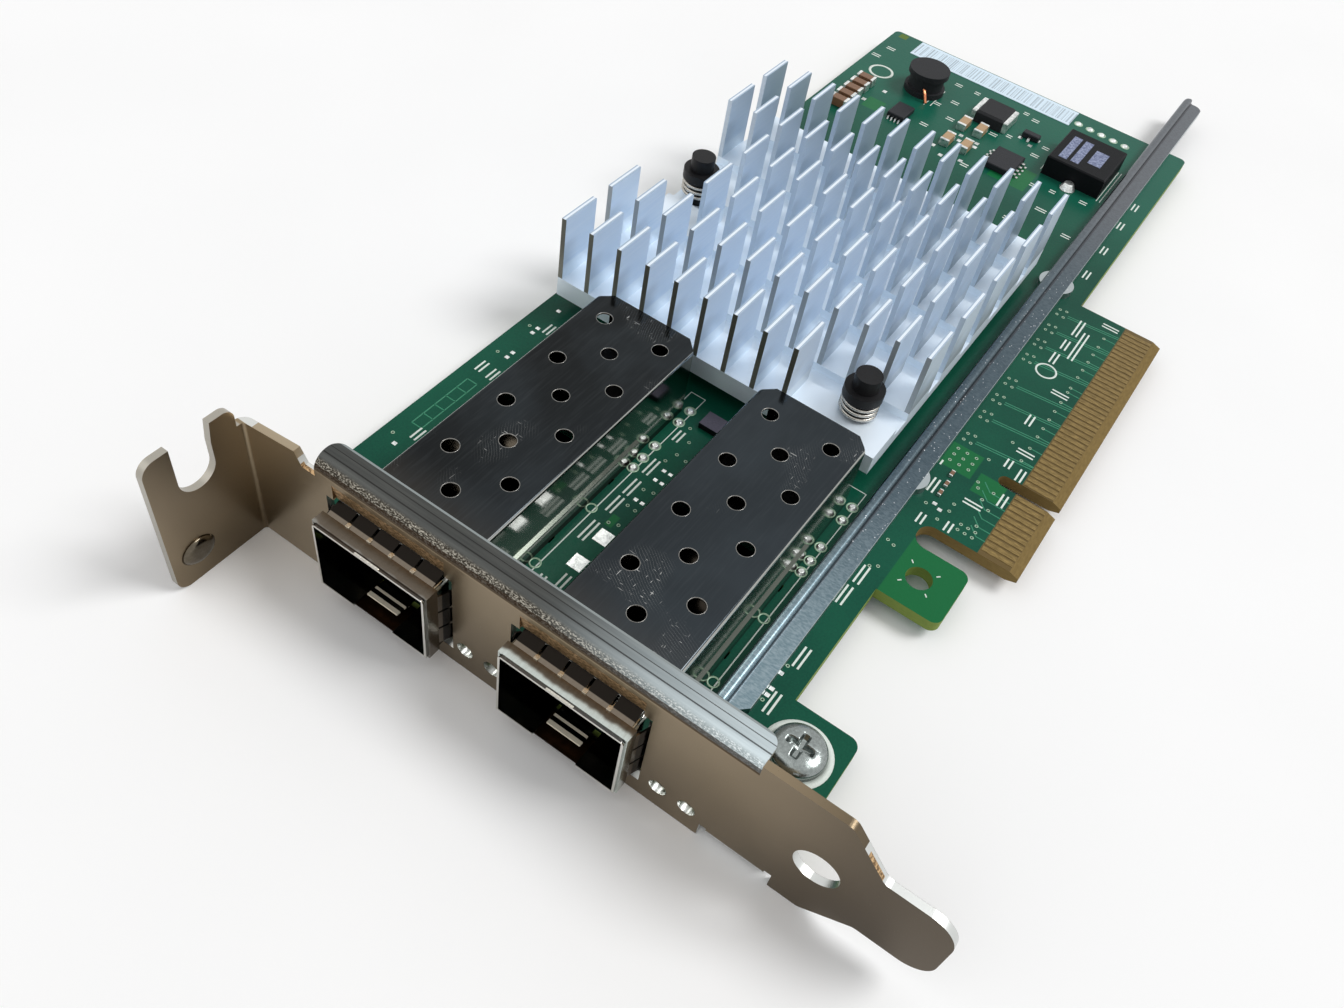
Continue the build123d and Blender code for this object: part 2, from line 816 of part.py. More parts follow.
def boss(x, side):
    """A rounded boss at the bar's edge, over the pin that holds it."""
    edge_y = bar_outer_y if side < 0 else bar_inner_y
    arc = ThreePointArc(
        (x - boss_length / 2, edge_y, board_top),
        (x, edge_y + side * boss_reach, board_top),
        (x + boss_length / 2, edge_y, board_top),
    )
    outline = make_face(arc + Line(arc @ 1, arc @ 0))
    return extrude(outline, bar_thickness, dir=(0, 0, 1))


def stiffener_bar():
    """A flat bar with a rounded ridge along its inner side, past the board's far edge."""
    ridge_y = bar_inner_y - ridge_width
    ridge_top = board_top + ridge_height
    bar_top = board_top + bar_thickness
    profile = [
        (bar_outer_y, board_top),
        (bar_inner_y, board_top),
        (bar_inner_y, ridge_top),
        (ridge_y, ridge_top),
        (ridge_y, bar_top),
        (bar_outer_y, bar_top),
    ]
    bar = end_plate(profile, bar_near_x, bar_far_x)
    bar = rounded(bar, Axis.X, [(bar_inner_y, ridge_top), (ridge_y, ridge_top)], ridge_radius)
    bar = rounded(bar, Axis.X, [(ridge_y, bar_top)], ridge_foot_radius)
    corner = [
        (bar_near_x, bar_outer_y),
        (bar_near_x + bar_end_cut, bar_outer_y),
        (bar_near_x, bar_outer_y + bar_end_cut),
    ]
    bar -= flat_plate(corner, board_top, bar_top)
    ends = block((bar_near_x, bar_outer_y, board_top), (bar_far_x, bar_inner_y, ridge_top))
    bar &= rounded(ends, Axis.Z, [(bar_far_x, bar_outer_y), (bar_far_x, bar_inner_y)], bar_tip_radius)
    return bar + boss(boss_near_x, -1) + boss(boss_far_x, -1) + boss(boss_far_x, 1)


def bar_pins():
    """The pins under the stiffener bar, through the board."""
    low_z = board_bottom - bar_pin_stickout
    return Compound(children=[rod(x, bar_pin_y, low_z, board_top, bar_pin_radius) for x in bar_pin_places])


def standing_block(near_x, low_y, length, width, height):
    """A box that stands on the board."""
    return block((near_x, low_y, board_top), (near_x + length, low_y + width, board_top + height))


def chip_parts(places, length, width, height):
    """A group of equal small parts, each centred on its place."""
    parts = [standing_block(x - length / 2, y - width / 2, length, width, height) for x, y in places]
    return Compound(children=parts)


def lead(height, width):
    """One bent lead that leaves a body at X = 0 and stands on the board."""
    shoulder_z = board_top + height / 2
    foot_x = lead_reach - lead_foot
    profile = [
        (0, shoulder_z),
        (foot_x, shoulder_z),
        (foot_x + lead_sheet, board_top + lead_sheet),
        (lead_reach, board_top + lead_sheet),
        (lead_reach, board_top),
        (foot_x, board_top),
        (foot_x - lead_sheet, shoulder_z - lead_sheet),
        (0, shoulder_z - lead_sheet),
    ]
    return side_plate(profile, -width / 2, width / 2)


def leaded_chip(x, y, length, width, height, pitch, lead_width, counts):
    """A chip with bent leads on its two X sides: counts are those at +X and at -X."""
    lift = lead_sheet
    chip = block((-length / 2, -width / 2, board_top + lift), (length / 2, width / 2, board_top + height))
    top = chip.faces().sort_by(Axis.Z)[-1]
    chip = chamfer(top.edges(), chip_bevel)
    for turn, count in zip((0, 180), counts):
        for i in range(count):
            offset = (i - (count - 1) / 2) * pitch
            chip += Rot(0, 0, turn) * Pos(length / 2, offset, 0) * lead(height, lead_width)
    return Pos(x, y, 0) * chip


def memory_chip():
    sizes = (memory_length, memory_width, memory_height)
    leads = (memory_lead_pitch, memory_lead_width, memory_lead_counts)
    return leaded_chip(memory_x, memory_y, *sizes, *leads)


def regulator_chip():
    """Its leads are on the sides that face the card edge and the top edge."""
    sizes = (regulator_width, regulator_length, regulator_height)
    leads = (regulator_lead_pitch, regulator_lead_width, regulator_lead_counts)
    chip = leaded_chip(0, 0, *sizes, *leads)
    return Pos(regulator_x, regulator_y, 0) * Rot(0, 0, 90) * chip


def small_transistor():
    sizes = (transistor_length, transistor_width, transistor_height)
    leads = (transistor_lead_pitch, transistor_lead_width, transistor_lead_counts)
    return leaded_chip(transistor_x, transistor_y, *sizes, *leads)


def drum_inductor():
    """A drum core with its winding between two rims."""
    outline = [
        (0, 0),
        (drum_radius, 0),
        (drum_radius, drum_rim_height),
        (drum_winding_radius, drum_rim_height),
        (drum_winding_radius, drum_height - drum_rim_height),
        (drum_radius, drum_height - drum_rim_height),
        (drum_radius, drum_height),
        (0, drum_height),
    ]
    half = make_face(Polyline(*[(r, 0, z) for r, z in outline], close=True))
    return Pos(drum_x, drum_y, board_top) * revolve(half, Axis.Z)


def shielded_inductor():
    body = standing_block(shielded_near_x, shielded_low_y, shielded_length, shielded_width, shielded_height)
    return chamfer(body.faces().sort_by(Axis.Z)[-1].edges(), shielded_bevel)


def power_module():
    body = standing_block(module_near_x, module_low_y, module_length, module_width, module_height)
    return chamfer(body.faces().sort_by(Axis.Z)[-1].edges(), module_bevel)


def crystal():
    near_x, low_y = crystal_x - crystal_length / 2, crystal_y - crystal_width / 2
    return standing_block(near_x, low_y, crystal_length, crystal_width, crystal_height)


def data_label():
    near_x = board_far_x - label_margin - label_length
    return standing_block(near_x, label_low_y, label_length, label_width, label_thickness)


def brown_capacitors():
    places = [(brown_first_x + brown_pitch * i, brown_y) for i in range(brown_count)]
    return chip_parts(places, brown_width, brown_length, brown_height)


os.makedirs("parts", exist_ok=True)
nodes = {
    "circuit_board": circuit_board(),
    "edge_contacts": edge_contacts(),
    "bracket": bracket(),
    "bracket_screw": bracket_screw(),
    "heat_sink": heat_sink(),
    "controller_chip": controller_chip(),
    "thermal_pad": thermal_pad(),
    "stiffener_bar": stiffener_bar(),
    "bar_pins": bar_pins(),
    "status_lights": status_lights(),
    "memory_chip": memory_chip(),
    "regulator_chip": regulator_chip(),
    "small_transistor": small_transistor(),
    "drum_inductor": drum_inductor(),
    "shielded_inductor": shielded_inductor(),
    "power_module": power_module(),
    "tan_capacitors": chip_parts(tan_places, tan_length, tan_width, tan_height),
    "brown_capacitors": brown_capacitors(),
    "small_capacitors": chip_parts(small_places, small_length, small_width, small_height),
    "crystal": crystal(),
    "data_label": data_label(),
}
for number, port_y in enumerate(ports, start=1):
    nodes[f"cage_cover_{number}"] = cage_cover(port_y)
    nodes[f"cage_tray_{number}"] = cage_tray(port_y)
    nodes[f"finger_collar_{number}"] = finger_collar(port_y)
    nodes[f"host_connector_{number}"] = host_connector(port_y)
for number, (x, y) in enumerate(push_pin_places, start=1):
    nodes[f"push_pin_{number}"] = push_pin(x, y)
    nodes[f"pin_spring_{number}"] = pin_spring(x, y)
for name, shape in nodes.items():
    export_step(shape, f"parts/{name}.step")
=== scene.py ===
import math

import bmesh
import bpy
from mathutils import Matrix, Vector


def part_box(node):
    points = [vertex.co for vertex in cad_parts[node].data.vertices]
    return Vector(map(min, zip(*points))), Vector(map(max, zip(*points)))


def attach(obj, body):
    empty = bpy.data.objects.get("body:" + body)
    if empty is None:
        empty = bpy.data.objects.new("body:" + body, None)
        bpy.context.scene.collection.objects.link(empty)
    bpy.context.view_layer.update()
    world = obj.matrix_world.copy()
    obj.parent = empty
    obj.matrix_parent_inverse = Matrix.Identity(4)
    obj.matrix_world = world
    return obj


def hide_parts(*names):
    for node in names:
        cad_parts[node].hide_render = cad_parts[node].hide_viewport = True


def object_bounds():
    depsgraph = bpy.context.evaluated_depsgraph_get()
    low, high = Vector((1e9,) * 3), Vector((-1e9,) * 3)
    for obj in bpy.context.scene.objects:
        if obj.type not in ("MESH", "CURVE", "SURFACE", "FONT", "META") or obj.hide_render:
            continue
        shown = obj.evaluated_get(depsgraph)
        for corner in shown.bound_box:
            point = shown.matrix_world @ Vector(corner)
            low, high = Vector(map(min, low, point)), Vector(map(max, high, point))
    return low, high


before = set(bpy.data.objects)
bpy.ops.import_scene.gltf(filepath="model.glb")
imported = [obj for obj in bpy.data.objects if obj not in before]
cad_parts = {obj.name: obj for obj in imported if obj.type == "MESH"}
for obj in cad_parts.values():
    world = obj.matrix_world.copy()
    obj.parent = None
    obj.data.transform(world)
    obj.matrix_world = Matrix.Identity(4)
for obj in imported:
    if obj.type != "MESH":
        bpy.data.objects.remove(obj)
cad_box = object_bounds()

# Circuit board: a multilayer glass-epoxy board under a glossy green solder mask. It is darker where a
# copper plane lies under the mask, and its sawn edges show the pale yellow-green laminate. Every other
# piece of the card is soldered, riveted or pinned to it.
MM = 0.001
BOARD_TOP = 0.785
BOARD_EDGE_SKIN = 0.012
MASK_OVER_COPPER = "#0b4637"
MASK_OVER_LAMINATE = "#125842"
MASK_OPEN = "#1a6f3b"
LAMINATE = "#8f9a4e"
CONTACT_ROW_TOP = 5.45
FIRST_CONTACT_X = -12.7
RETENTION_TAB = (-26.5, 4.0, -15.6, 12.2)
OPEN_AREAS = ((-2.6, 11.1, 1.8, 15.2), (-4.2, 6.7, -0.8, 10.2), (60.0, 30.5, 66.2, 36.8),
              (62.6, 58.6, 66.0, 61.6), (-37.4, 40.0, -35.7, 40.8))
BARE_CORNER = (88.4, 66.2, 89.9, 67.6)


def tone(code):
    """The linear colour of a hexadecimal one."""
    parts = [int(code[i:i + 2], 16) / 255 for i in (1, 3, 5)]
    return [c / 12.92 if c <= 0.04045 else ((c + 0.055) / 1.055) ** 2.4 for c in parts] + [1.0]


class Value:
    """One shader socket. Arithmetic on it adds Math nodes to the tree that it is in."""

    def __init__(self, shading, socket):
        self.shading = shading
        self.socket = socket

    def maths(self, operation, *others):
        inputs = dict(enumerate((self, *others)))
        return self.shading.node("Math", {"operation": operation}, inputs)

    def __add__(self, other):
        return self.maths("ADD", other)

    def __sub__(self, other):
        return self.maths("SUBTRACT", other)

    def __rsub__(self, other):
        return self.maths("MULTIPLY", -1.0) + other

    def __mul__(self, other):
        return self.maths("MULTIPLY", other)

    def __mod__(self, other):
        return self.maths("FLOORED_MODULO", other)

    def __abs__(self):
        return self.maths("ABSOLUTE")

    def __gt__(self, other):
        return self.maths("GREATER_THAN", other)

    def __lt__(self, other):
        return self.maths("LESS_THAN", other)

    def __or__(self, other):
        return self.maths("MAXIMUM", other)

    __radd__ = __add__
    __rmul__ = __mul__

    def rise(self, low, high):
        """0 below low, 1 above high and a smooth step between them."""
        return self.shading.node("MapRange", {"interpolation_type": "SMOOTHSTEP"},
                                 {"Value": self, "From Min": low, "From Max": high})


class Shading:
    """A tree of shader nodes. Its node method adds every node but the ones that it opens with."""

    def __init__(self, tree):
        self.tree = tree

    def feed(self, socket, value):
        if isinstance(value, Value):
            self.tree.links.new(value.socket, socket)
        elif isinstance(value, str):
            socket.default_value = tone(value)
        else:
            socket.default_value = value

    def node(self, kind, settings=None, inputs=None, output=0):
        """Adds one node, with its settings first and then the values or links of its sockets."""
        made = self.tree.nodes.new("ShaderNode" + kind)
        for name, setting in (settings or {}).items():
            setattr(made, name, setting)
        for name, value in (inputs or {}).items():
            self.feed(made.inputs[name], value)
        return Value(self, made.outputs[output])


class Finish(Shading):
    """A material, which reads places in millimetres of the card's own frame."""

    def __init__(self, name, metallic=0.0, gloss=0.5):
        self.material = bpy.data.materials.new(name)
        self.material.use_nodes = True
        super().__init__(self.material.node_tree)
        self.shader = self.tree.nodes["Principled BSDF"]
        self.shader.inputs["Metallic"].default_value = metallic
        self.shader.inputs["Specular IOR Level"].default_value = gloss
        metres = self.node("TexCoord", output="Object")
        self.place = self.node("VectorMath", {"operation": "SCALE"}, {0: metres, "Scale": 1 / MM})
        split = self.node("SeparateXYZ", {}, {0: self.place}).socket.node
        self.x, self.y, self.z = [Value(self, socket) for socket in split.outputs]

    def stretched(self, across):
        """The place with each axis multiplied, which draws a pattern out along the least of them."""
        return self.node("VectorMath", {"operation": "MULTIPLY"}, {0: self.place, 1: across})

    def noise(self, per_mm, detail, across=(1, 1, 1), rough=0.55):
        return self.node("TexNoise", {}, {
            "Vector": self.stretched(across), "Scale": per_mm, "Detail": detail, "Roughness": rough})

    def cells(self, per_mm):
        """The distance from the nearest of many scattered points."""
        return self.node("TexVoronoi", {}, {"Vector": self.place, "Scale": per_mm}, "Distance")

    def mix(self, mask, first, second):
        """The first colour where the mask is 0, the second where it is 1."""
        return self.node("Mix", {"data_type": "RGBA"}, {0: mask, 6: first, 7: second}, 2)

    def inside(self, axis, low, high, soft=0.02):
        """1 where a coordinate lies between low and high."""
        return axis.rise(low - soft, low) * (1 - axis.rise(high, high + soft))

    def wear(self, colour, roughness, height=None, depth=0.02, metallic=None):
        """Sends what varies over the surface to the shader. The depth of its relief is in millimetres."""
        self.feed(self.shader.inputs["Base Color"], colour)
        self.feed(self.shader.inputs["Roughness"], roughness)
        if metallic is not None:
            self.feed(self.shader.inputs["Metallic"], metallic)
        if height is not None:
            normal = self.node("Bump", {}, {"Height": height, "Strength": 1.0, "Distance": depth * MM})
            self.feed(self.shader.inputs["Normal"], normal)


def give(node, finish):
    """Puts a finish on a node of the frame."""
    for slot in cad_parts[node].material_slots:
        slot.link = "OBJECT"
        slot.material = finish.material


def patch(finish, near_x, low_y, far_x, high_y, soft=0.15):
    """1 inside a rectangle of the board, given by two of its corners."""
    return finish.inside(finish.x, near_x, far_x, soft) * finish.inside(finish.y, low_y, high_y, soft)


mask = Finish("solder_mask", gloss=0.12)
mottle = mask.noise(0.05, 3.0) * 0.7 + mask.noise(4.0, 2.0) * 0.3
green = mask.mix(mottle.rise(0.35, 0.7), MASK_OVER_COPPER, MASK_OVER_LAMINATE)
# Painted sheen: the mask is painted paler and bluer towards the far end.
green = mask.mix(mask.x.rise(45.0, 75.0) * 0.5, green, "#1f6a58")
open_areas = patch(mask, *RETENTION_TAB)
for corners in OPEN_AREAS:
    open_areas = open_areas | patch(mask, *corners)
green = mask.mix(open_areas * 0.75, green, MASK_OPEN)
green = mask.mix(patch(mask, *BARE_CORNER), green, "#55701f")
sawn = abs(mask.z) < BOARD_TOP - BOARD_EDGE_SKIN
glass = mask.noise(1.2, 3.0, (1, 1, 9))
by_contacts = (mask.x > -15.8) * (mask.x < 41.0) * (mask.y < 12.5)
gilded = mask.mix(glass, "#66532f", "#8d7748")
saw_face = mask.mix(by_contacts, mask.mix(glass, LAMINATE, "#5d7a3a"), gilded)
# Painted shade: the mask behind the bracket is darkened almost to black.
shade_behind_bracket = (mask.x < -57.0) * (mask.z > 0)
green = mask.mix(shade_behind_bracket * 0.85, green, "#0c1310")
bare_strip = (mask.y < CONTACT_ROW_TOP) * (mask.x > FIRST_CONTACT_X)
green = mask.mix(bare_strip, green, "#6a5836")
mask.wear(colour=mask.mix(sawn, green, saw_face), roughness=0.28 + sawn * 0.4,
          height=mask.noise(1.5, 3.0) * 0.5 + mask.noise(8.0, 1.0) * 0.2, depth=0.03)
give("circuit_board", mask)


# Vias, pads and traces: what the board maker plates and etches. Small ringed holes carry signals between
# layers, pale lines of copper show through the mask, and bare places are tinned.
VIA_RADIUS = 0.18
PAD_LIFT = 0.03
TRACE_LIFT = 0.012
TRACE_WIDTH = 0.16
CLUSTER_Y = 14.0
CLUSTERS = (3.75, 8.9, 13.0, 17.1, 23.4, 27.4, 31.5, 35.9)
CONTACT_ROW_Y = 7.15
CONTACT_ROW_X = (35.0, 32.7, 30.6, 28.6, 26.5, 24.6, 21.9, 20.8, 18.3, 16.1, 14.1, 12.0, 10.1, 7.5, 4.7)
PORTS = (51.26, 28.1)
SOLDER_X = (-16.5, -19.0, -24.1, -26.6, -28.6)
SOLDER_OFFSET = 7.95
EMPTY_HOLE_X = (-36.6, -46.6)
TRAY_PIN_X = (-54, -43, -32)
TRAY_PIN_OFFSET = 7.225
OUTLINE_FIRST_X = -40.1
OUTLINE_PITCH = 1.94
OUTLINE_Y = (65.4, 66.9)


class Recipe:
    """A Geometry Nodes tree with named sizes in metres, which is run on an object's points or lines."""

    def __init__(self, name, **sizes):
        self.tree = bpy.data.node_groups.new(name, "GeometryNodeTree")
        self.tree.interface.new_socket("Geometry", in_out="INPUT", socket_type="NodeSocketGeometry")
        for size, value in sizes.items():
            socket = self.tree.interface.new_socket(size, in_out="INPUT", socket_type="NodeSocketFloat")
            socket.default_value = value * MM
        self.tree.interface.new_socket("Geometry", in_out="OUTPUT", socket_type="NodeSocketGeometry")
        self.given = self.tree.nodes.new("NodeGroupInput").outputs

    def node(self, kind, settings=None, inputs=None, output=0):
        made = self.tree.nodes.new(kind)
        for name, setting in (settings or {}).items():
            setattr(made, name, setting)
        for name, value in (inputs or {}).items():
            if isinstance(value, bpy.types.NodeSocket):
                self.tree.links.new(value, made.inputs[name])
            else:
                made.inputs[name].default_value = value
        return made.outputs[output]

    def shift(self, shape, x=0.0, z=0.0):
        """Moves a shape; each distance may be a socket."""
        along = self.node("ShaderNodeCombineXYZ", {}, {"X": x, "Z": z})
        return self.node("GeometryNodeTransform", {}, {"Geometry": shape, "Translation": along})

    def scaled(self, value, factor):
        return self.node("ShaderNodeMath", {"operation": "MULTIPLY"}, {0: value, 1: factor})

    def coat(self, shape, finish):
        return self.node("GeometryNodeSetMaterial", {}, {"Geometry": shape, "Material": finish.material})

    def on_points(self, shape, turn=0.0):
        return self.node("GeometryNodeInstanceOnPoints", {}, {
            "Points": self.given["Geometry"], "Instance": shape, "Rotation": (0.0, 0.0, turn)})

    def close(self, shape):
        whole = self.node("GeometryNodeRealizeInstances", {}, {0: shape})
        result = self.tree.nodes.new("NodeGroupOutput")
        self.tree.links.new(whole, result.inputs[0])


def sketch(name, points, edges=()):
    """An object of bare points, or of lines between them, given in millimetres."""
    mesh = bpy.data.meshes.new(name)
    mesh.from_pydata([[c * MM for c in point] for point in points], list(edges), [])
    drawn = bpy.data.objects.new(name, mesh)
    bpy.context.scene.collection.objects.link(drawn)
    return drawn


def cook(recipe, drawn, bevel=0.0, **sizes):
    """Runs a recipe on a sketch, with other sizes if any are given, and leaves the plain mesh it makes."""
    maker = drawn.modifiers.new("recipe", "NODES")
    maker.node_group = recipe.tree
    for item in recipe.tree.interface.items_tree:
        if item.in_out == "INPUT" and item.name in sizes:
            maker[item.identifier] = sizes[item.name] * MM
    if bevel:
        edge = drawn.modifiers.new("bevel", "BEVEL")
        edge.width = bevel * MM
        edge.segments = 2
    ready = drawn.evaluated_get(bpy.context.evaluated_depsgraph_get())
    made = bpy.data.meshes.new_from_object(ready)
    drawn.modifiers.clear()
    drawn.data = made
    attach(drawn, "root")
    return drawn


def chain(paths):
    """The points and edges of several open lines."""
    points, edges = [], []
    for path in paths:
        edges += [(len(points) + i, len(points) + i + 1) for i in range(len(path) - 1)]
        points += path
    return points, edges


def disc(name, finish, sides, taper):
    """A recipe for low round pads: a short cone with its top narrower than its foot."""
    recipe = Recipe(name, Radius=0.5, Height=0.1)
    top = recipe.scaled(recipe.given["Radius"], taper)
    cone = recipe.node("GeometryNodeMeshCone", {}, {
        "Vertices": sides, "Radius Top": top, "Radius Bottom": recipe.given["Radius"],
        "Depth": recipe.given["Height"]})
    recipe.close(recipe.coat(recipe.on_points(cone), finish))
    return recipe


def ring(name, finish, sides):
    """A recipe for flat rings of a given radius, width and height."""
    recipe = Recipe(name, Radius=0.5, Width=0.1, Height=0.03)
    circle = recipe.node("GeometryNodeCurvePrimitiveCircle", {}, {
        "Resolution": sides, "Radius": recipe.given["Radius"]})
    strip = recipe.node("GeometryNodeCurvePrimitiveQuadrilateral", {}, {
        "Width": recipe.given["Width"], "Height": recipe.given["Height"]})
    band = recipe.node("GeometryNodeCurveToMesh", {}, {"Curve": circle, "Profile Curve": strip})
    recipe.close(recipe.coat(recipe.on_points(band), finish))
    return recipe


def ribbon(name, finish):
    """A recipe for flat ribbons along lines."""
    recipe = Recipe(name, Width=0.15, Height=0.02)
    curve = recipe.node("GeometryNodeMeshToCurve", {}, {"Mesh": recipe.given["Geometry"]})
    curve = recipe.node("GeometryNodeSetCurveNormal", {"mode": "Z_UP"}, {"Curve": curve})
    strip = recipe.node("GeometryNodeCurvePrimitiveQuadrilateral", {}, {
        "Width": recipe.given["Width"], "Height": recipe.given["Height"]})
    band = recipe.node("GeometryNodeCurveToMesh", {}, {
        "Curve": curve, "Profile Curve": strip, "Fill Caps": True})
    recipe.close(recipe.coat(band, finish))
    return recipe


def two_tone(name, dark, pale, grain, rough, depth, **look):
    """A finish that wanders between two tones, and is rougher and higher where it is paler.

    The grain is its spots to the millimetre and their detail, and rough is the least roughness
    and what the grain adds to it.
    """
    finish = Finish(name, **look)
    spots = finish.noise(*grain)
    finish.wear(colour=finish.mix(spots, dark, pale), roughness=rough[0] + spots * rough[1],
                height=spots, depth=depth)
    return finish


tin = Finish("solder_tin", metallic=0.85)
puddle = tin.noise(1.6, 3.0)
tin.wear(colour=tin.mix(puddle.rise(0.3, 0.7), "#c2c6c4", "#f2f4f2"), roughness=0.2 + puddle * 0.2,
         height=puddle, depth=0.04)
plated = two_tone("via_ring", "#86a98c", "#bcd3bb", (2.5, 2.0), (0.3, 0.2), 0.01, metallic=0.3, gloss=0.3)
# Painted shade: dark discs over the via holes stand for the shade inside them.
hole_shade = Finish("via_hole")
depths = hole_shade.noise(3.0, 2.0)
hole_shade.wear(colour=hole_shade.mix(depths, "#06140f", "#12281e"), roughness=0.5 + depths * 0.2)
trace_mask = two_tone("mask_over_trace", "#2b7d5c", "#3f9273", (0.8, 3.0), (0.26, 0.15), 0.01, gloss=0.22)

contact_vias = [(x, CONTACT_ROW_Y) for x in CONTACT_ROW_X]
via_places = [(x + across, CLUSTER_Y + along) for x in CLUSTERS
              for across, along in ((-0.7, 0.5), (0.6, 0.5), (-0.75, -0.5), (0.8, -0.45))]
via_places += contact_vias
via_places += [(-1.4 + 1.25 * i, 11.8 + 1.28 * j) for i in range(3) for j in range(3)]
via_places += [(-11.0 + 1.0 * i, 6.9 + 0.95 * j) for i in range(2) for j in range(3)]
via_places += [(-9.8, 13.6), (-11.2, 11.4), (-9.1, 10.8), (-7.7, 10.8), (-5.8, 7.1), (-4.7, 8.4), (-2.8, 7.7),
               (-3.3, 9.6), (-2.4, 10.0), (-9.0, 7.2), (2.0, 10.5), (6.9, 9.3), (-17.9, 14.6), (-18.2, 13.7),
               (-22.1, 13.7), (-22.7, 14.5), (-40.0, 15.1), (-45.1, 15.1), (-23.5, 40.5), (-23.7, 39.1),
               (-20.9, 40.5), (-18.9, 41.7), (-25.2, 41.0), (-30.2, 39.2), (-33.6, 40.4), (-33.7, 39.3),
               (-30.5, 40.4), (-36.6, 39.5), (-37.0, 40.6), (-17.9, 67.4), (-24.3, 67.3), (-42.7, 67.4)]
top_vias = [(x, y, BOARD_TOP + PAD_LIFT / 2) for x, y in via_places]
back_vias = [(x, y, -BOARD_TOP - PAD_LIFT / 2) for x, y in via_places]
via_ring = ring("via_ring", plated, 12)
via_hole = disc("via_hole", hole_shade, 12, 1.0)
hole_places = [(x, y, face_z) for face_z in (BOARD_TOP, -BOARD_TOP) for x, y in via_places]
cook(via_ring, sketch("via_rings", top_vias + back_vias), Radius=VIA_RADIUS, Width=0.11, Height=PAD_LIFT)
cook(via_hole, sketch("via_holes", hole_places), Radius=VIA_RADIUS - 0.05, Height=0.02)

trace_z = BOARD_TOP + TRACE_LIFT / 2
trace_paths = []
for x in CLUSTERS:
    for side in (-0.2, 0.2):
        start = (x - 0.2 + side, CLUSTER_Y - 1.0, trace_z)
        trace_paths.append([start, (x + 0.6 + side, CONTACT_ROW_TOP, trace_z)])
trace_paths += [[(x, y, trace_z), (x, CONTACT_ROW_TOP, trace_z)] for x, y in contact_vias]
for i in range(6):
    x = -10.5 + 1.5 * i
    trace_paths.append([(x, 5.4, trace_z), (x, 6.6 + 0.3 * i, trace_z), (x + 1.2, 7.8 + 0.3 * i, trace_z)])
ladder_x = [OUTLINE_FIRST_X + OUTLINE_PITCH * i for i in range(6)]
trace_paths += [[(x, y, trace_z) for y in OUTLINE_Y] for x in ladder_x]
trace_paths += [[(x, y, trace_z) for x in (ladder_x[0], ladder_x[-1])] for y in OUTLINE_Y]
trace = ribbon("trace", trace_mask)
cook(trace, sketch("traces", *chain(trace_paths)), Width=TRACE_WIDTH, Height=TRACE_LIFT)

dome = disc("solder_dome", tin, 20, 0.55)
dome_places = [(x, port_y - SOLDER_OFFSET, BOARD_TOP) for port_y in PORTS for x in SOLDER_X]
dome_places += [(86.6 - 0.12 * i, 31.0 - 2.2 * i, BOARD_TOP) for i in range(5)]
cook(dome, sketch("solder_domes", dome_places), bevel=0.06, Radius=0.6, Height=0.3)
ring_z = BOARD_TOP + PAD_LIFT / 2
dome_rings = sketch("dome_rings", [(x, y, ring_z) for x, y, z in dome_places])
cook(ring("dome_ring", plated, 24), dome_rings, Radius=0.68, Width=0.2, Height=PAD_LIFT)
cook(dome, sketch("module_terminal", [(66.3, 25.2, BOARD_TOP)]), bevel=0.12, Radius=1.35, Height=1.1)
empty_holes = [(x, port_y - SOLDER_OFFSET, ring_z) for port_y in PORTS for x in EMPTY_HOLE_X]
cook(ring("pin_hole_ring", plated, 24), sketch("pin_hole_rings", empty_holes),
     Radius=0.62, Width=0.22, Height=PAD_LIFT)
pin_joints = [(x, port_y + side * TRAY_PIN_OFFSET, -BOARD_TOP)
              for port_y in PORTS for side in (-1, 1) for x in TRAY_PIN_X]
cook(dome, sketch("pin_joints", pin_joints), bevel=0.06, Radius=0.95, Height=0.7)


def piece(name, shape, finish):
    """The object of a finished shape, which rides on the card."""
    mesh = bpy.data.meshes.new(name)
    shape.to_mesh(mesh)
    shape.free()
    mesh.materials.append(finish.material)
    made = bpy.data.objects.new(name, mesh)
    bpy.context.scene.collection.objects.link(made)
    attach(made, "root")
    return made


def plates(name, finish, boxes, bevel=0.0):
    """One piece of square-cut plates, each given by two corners in the plane and its lowest and highest z."""
    shape = bmesh.new()
    for near_x, low_y, far_x, high_y, low_z, high_z in boxes:
        middle = Vector(((near_x + far_x) / 2, (low_y + high_y) / 2, (low_z + high_z) / 2)) * MM
        size = Matrix.Diagonal(((far_x - near_x) * MM, (high_y - low_y) * MM, (high_z - low_z) * MM, 1))
        bmesh.ops.create_cube(shape, size=1.0, matrix=Matrix.Translation(middle) @ size)
    if bevel:
        bmesh.ops.bevel(shape, geom=shape.edges[:], offset=bevel * MM, segments=2, affect="EDGES")
    return piece(name, shape, finish)


def pads(places, length, width):
    """The boxes of equal tinned pads, centred on their places."""
    top = BOARD_TOP + PAD_LIFT
    return [(x - length / 2, y - width / 2, x + length / 2, y + width / 2, BOARD_TOP, top) for x, y in places]


bare = pads([(-39.05, 39.75), (-43.6, 39.8)], 1.95, 1.8)
bare += pads([(x, y) for x in (-32.3, -28.4, -26.6) for y in (39.3, 40.2)], 0.45, 0.5)
bare += pads([(-24.3, 65.8), (-23.2, 65.8), (-18.7, 66.3), (-17.6, 66.3), (-43.8, 66.1), (-13.2, 66.4),
              (-41.2, 15.2), (-43.4, 15.0), (-44.3, 15.0), (-9.2, 12.7), (-9.7, 11.8)], 0.5, 0.55)
bare += pads([(59.1, 44.9), (65.4, 44.4), (65.6, 41.6), (69.3, 60.6), (64.4, 62.1), (60.9, 47.1),
              (60.1, 41.7), (67.1, 44.8), (66.9, 41.8), (74.5, 37.0), (73.4, 34.8), (75.8, 34.3)], 0.8, 0.7)
plates("bare_pads", tin, bare, bevel=0.012)


